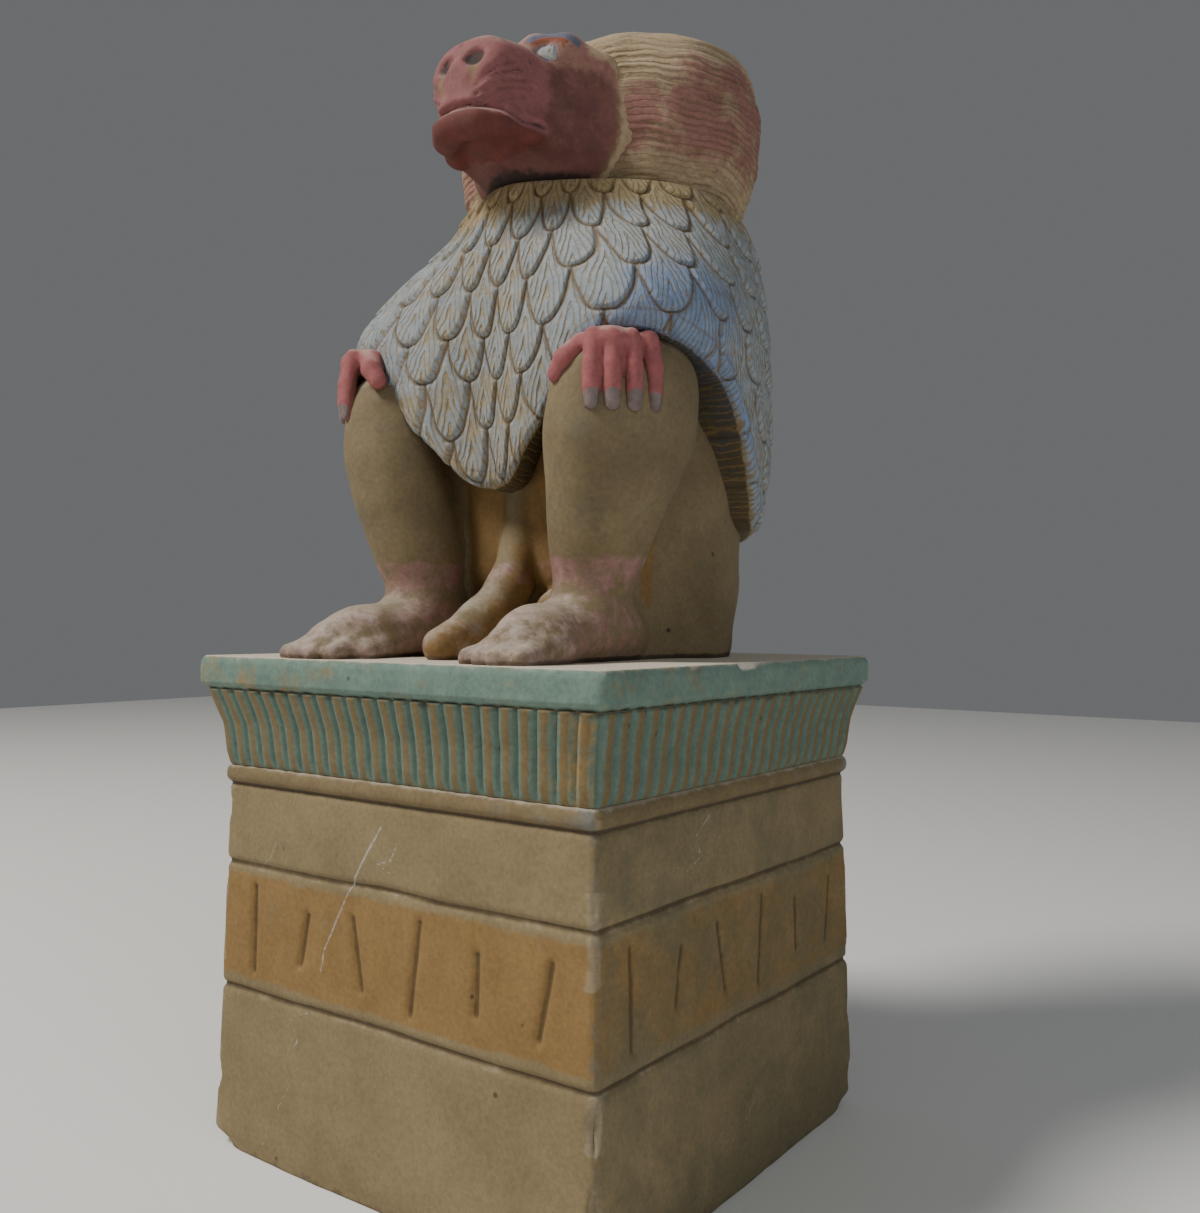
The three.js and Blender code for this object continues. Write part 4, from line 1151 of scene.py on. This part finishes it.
# The plinth's cast, olive-tan with a warmer band, scratched to white, with painted shade on its side faces
# and foot and a painted warmer light on its front face
block_paint = painted_plaster(
    "painted_plaster_plinth", ("#81704f", "#8f7d5b"),
    coats=[("orange", "#94713c", "#86642f", 0.75, 12), ("olive", "#6d664a", "#615c44", 0.65, 16),
           ("beige", "#7c6a48", "#6f5d3e", 0.7, 8), ("blue", "#6b7376", "#767c7a", 0.6, 6),
           ("dust", "#a89a80", "#988a70", 0.6, 5), ("painted_shade", "#40341f", "#33291b", 0.7, 7)],
    lines=[("line", 0.5, "#3f3119", 0.75), ("stroke", 0.6, "#453519", 0.7),
           ("roll_line", 0.5, "#3d3120", 0.75), ("scratch", 0.28, "#b9b9b0", 0.8)], pits=0.7, dust=0.5)
# Teal-painted ribs worn to ochre, under a dusty slab with a turquoise edge, and painted shade under the
# slab's overhang
cornice_paint = painted_plaster(
    "painted_plaster_cornice", ("#8a7248", "#9a8458"),
    coats=[("teal", "#5f7d74", "#507068", 0.85, 5), ("turquoise", "#5d8079", "#6f8f84", 0.85, 7),
           ("dust", "#dbd0c0", "#cfc3b0", 0.9, 9), ("painted_shade", "#3a3122", "#2c261b", 0.75, 5)],
    lines=[("rib_line", 0.42, "#7a6034", 0.8)], pits=0.5, dust=0.75)

# Columns and rows of the wrapped grids
MANTLE_GRID = (560, 165)
MANE_GRID = (300, 300)
BLOCK_ROWS, CORNICE_ROWS = 160, 90

FIGURE = {"node": "baboon", "slot": "painted_cast", "lift": SLAB_TOP}
piece("mantle", wrapped("mantle", *MANTLE_GRID, mantle_skin), material=feather_paint, **FIGURE)
piece("mane", wrapped("mane", *MANE_GRID, mane_skin), material=mane_paint, **FIGURE)
piece("head", build_head(), material=face_paint, **FIGURE)
piece("legs_and_haunches", build_body(), material=body_paint, **FIGURE)
piece("left_hand", build_hand("left_hand", 1), material=hand_paint, **FIGURE)
piece("right_hand", build_hand("right_hand", -1), material=hand_paint, **FIGURE)
PLINTH = {"node": "plinth", "slot": "plinth_cast", "lift": 0}
piece("plinth_block", wrapped("plinth_block", sum(BLOCK_COLUMNS), BLOCK_ROWS, block_skin),
      material=block_paint, **PLINTH)
piece("plinth_cornice", wrapped("plinth_cornice", sum(CORNICE_COLUMNS), CORNICE_ROWS, cornice_skin),
      material=cornice_paint, **PLINTH)


# Floor, light and camera

FLOOR_HALF = 1.4


def build_floor():
    bm = bmesh.new()
    bmesh.ops.create_grid(bm, x_segments=1, y_segments=1, size=FLOOR_HALF)
    mesh = bpy.data.meshes.new("floor")
    bm.to_mesh(mesh)
    bm.free()
    matt = bpy.data.materials.new("matt_paper")
    matt.use_nodes = True
    sheet = matt.node_tree.nodes["Principled BSDF"]
    sheet.inputs["Base Color"].default_value = paint("#efeeea")
    sheet.inputs["Roughness"].default_value = 0.9
    mesh.materials.append(matt)
    floor = bpy.data.objects.new("floor", mesh)
    bpy.context.scene.collection.objects.link(floor)


def soft_light(name, place, aim, size, watts, colour):
    lamp = bpy.data.lights.new(name, "AREA")
    lamp.shape = "DISK"
    lamp.size = size
    lamp.energy = watts
    lamp.color = colour
    light = bpy.data.objects.new(name, lamp)
    light.location = place
    light.rotation_euler = (Vector(aim) - Vector(place)).to_track_quat("-Z", "Y").to_euler()
    bpy.context.scene.collection.objects.link(light)


build_floor()
CENTRE = (0, 0, 0.16)
soft_light("key", (-0.5, -0.7, 1.15), CENTRE, 0.4, 18, (1.0, 0.97, 0.92))
soft_light("fill", (0.9, -0.3, 0.5), CENTRE, 0.9, 2.2, (0.9, 0.95, 1.0))
world = bpy.data.worlds.new("studio")
world.use_nodes = True
world.node_tree.nodes["Background"].inputs["Color"].default_value = paint("#d6d9dc")
world.node_tree.nodes["Background"].inputs["Strength"].default_value = 0.22
bpy.context.scene.world = world
place_camera()
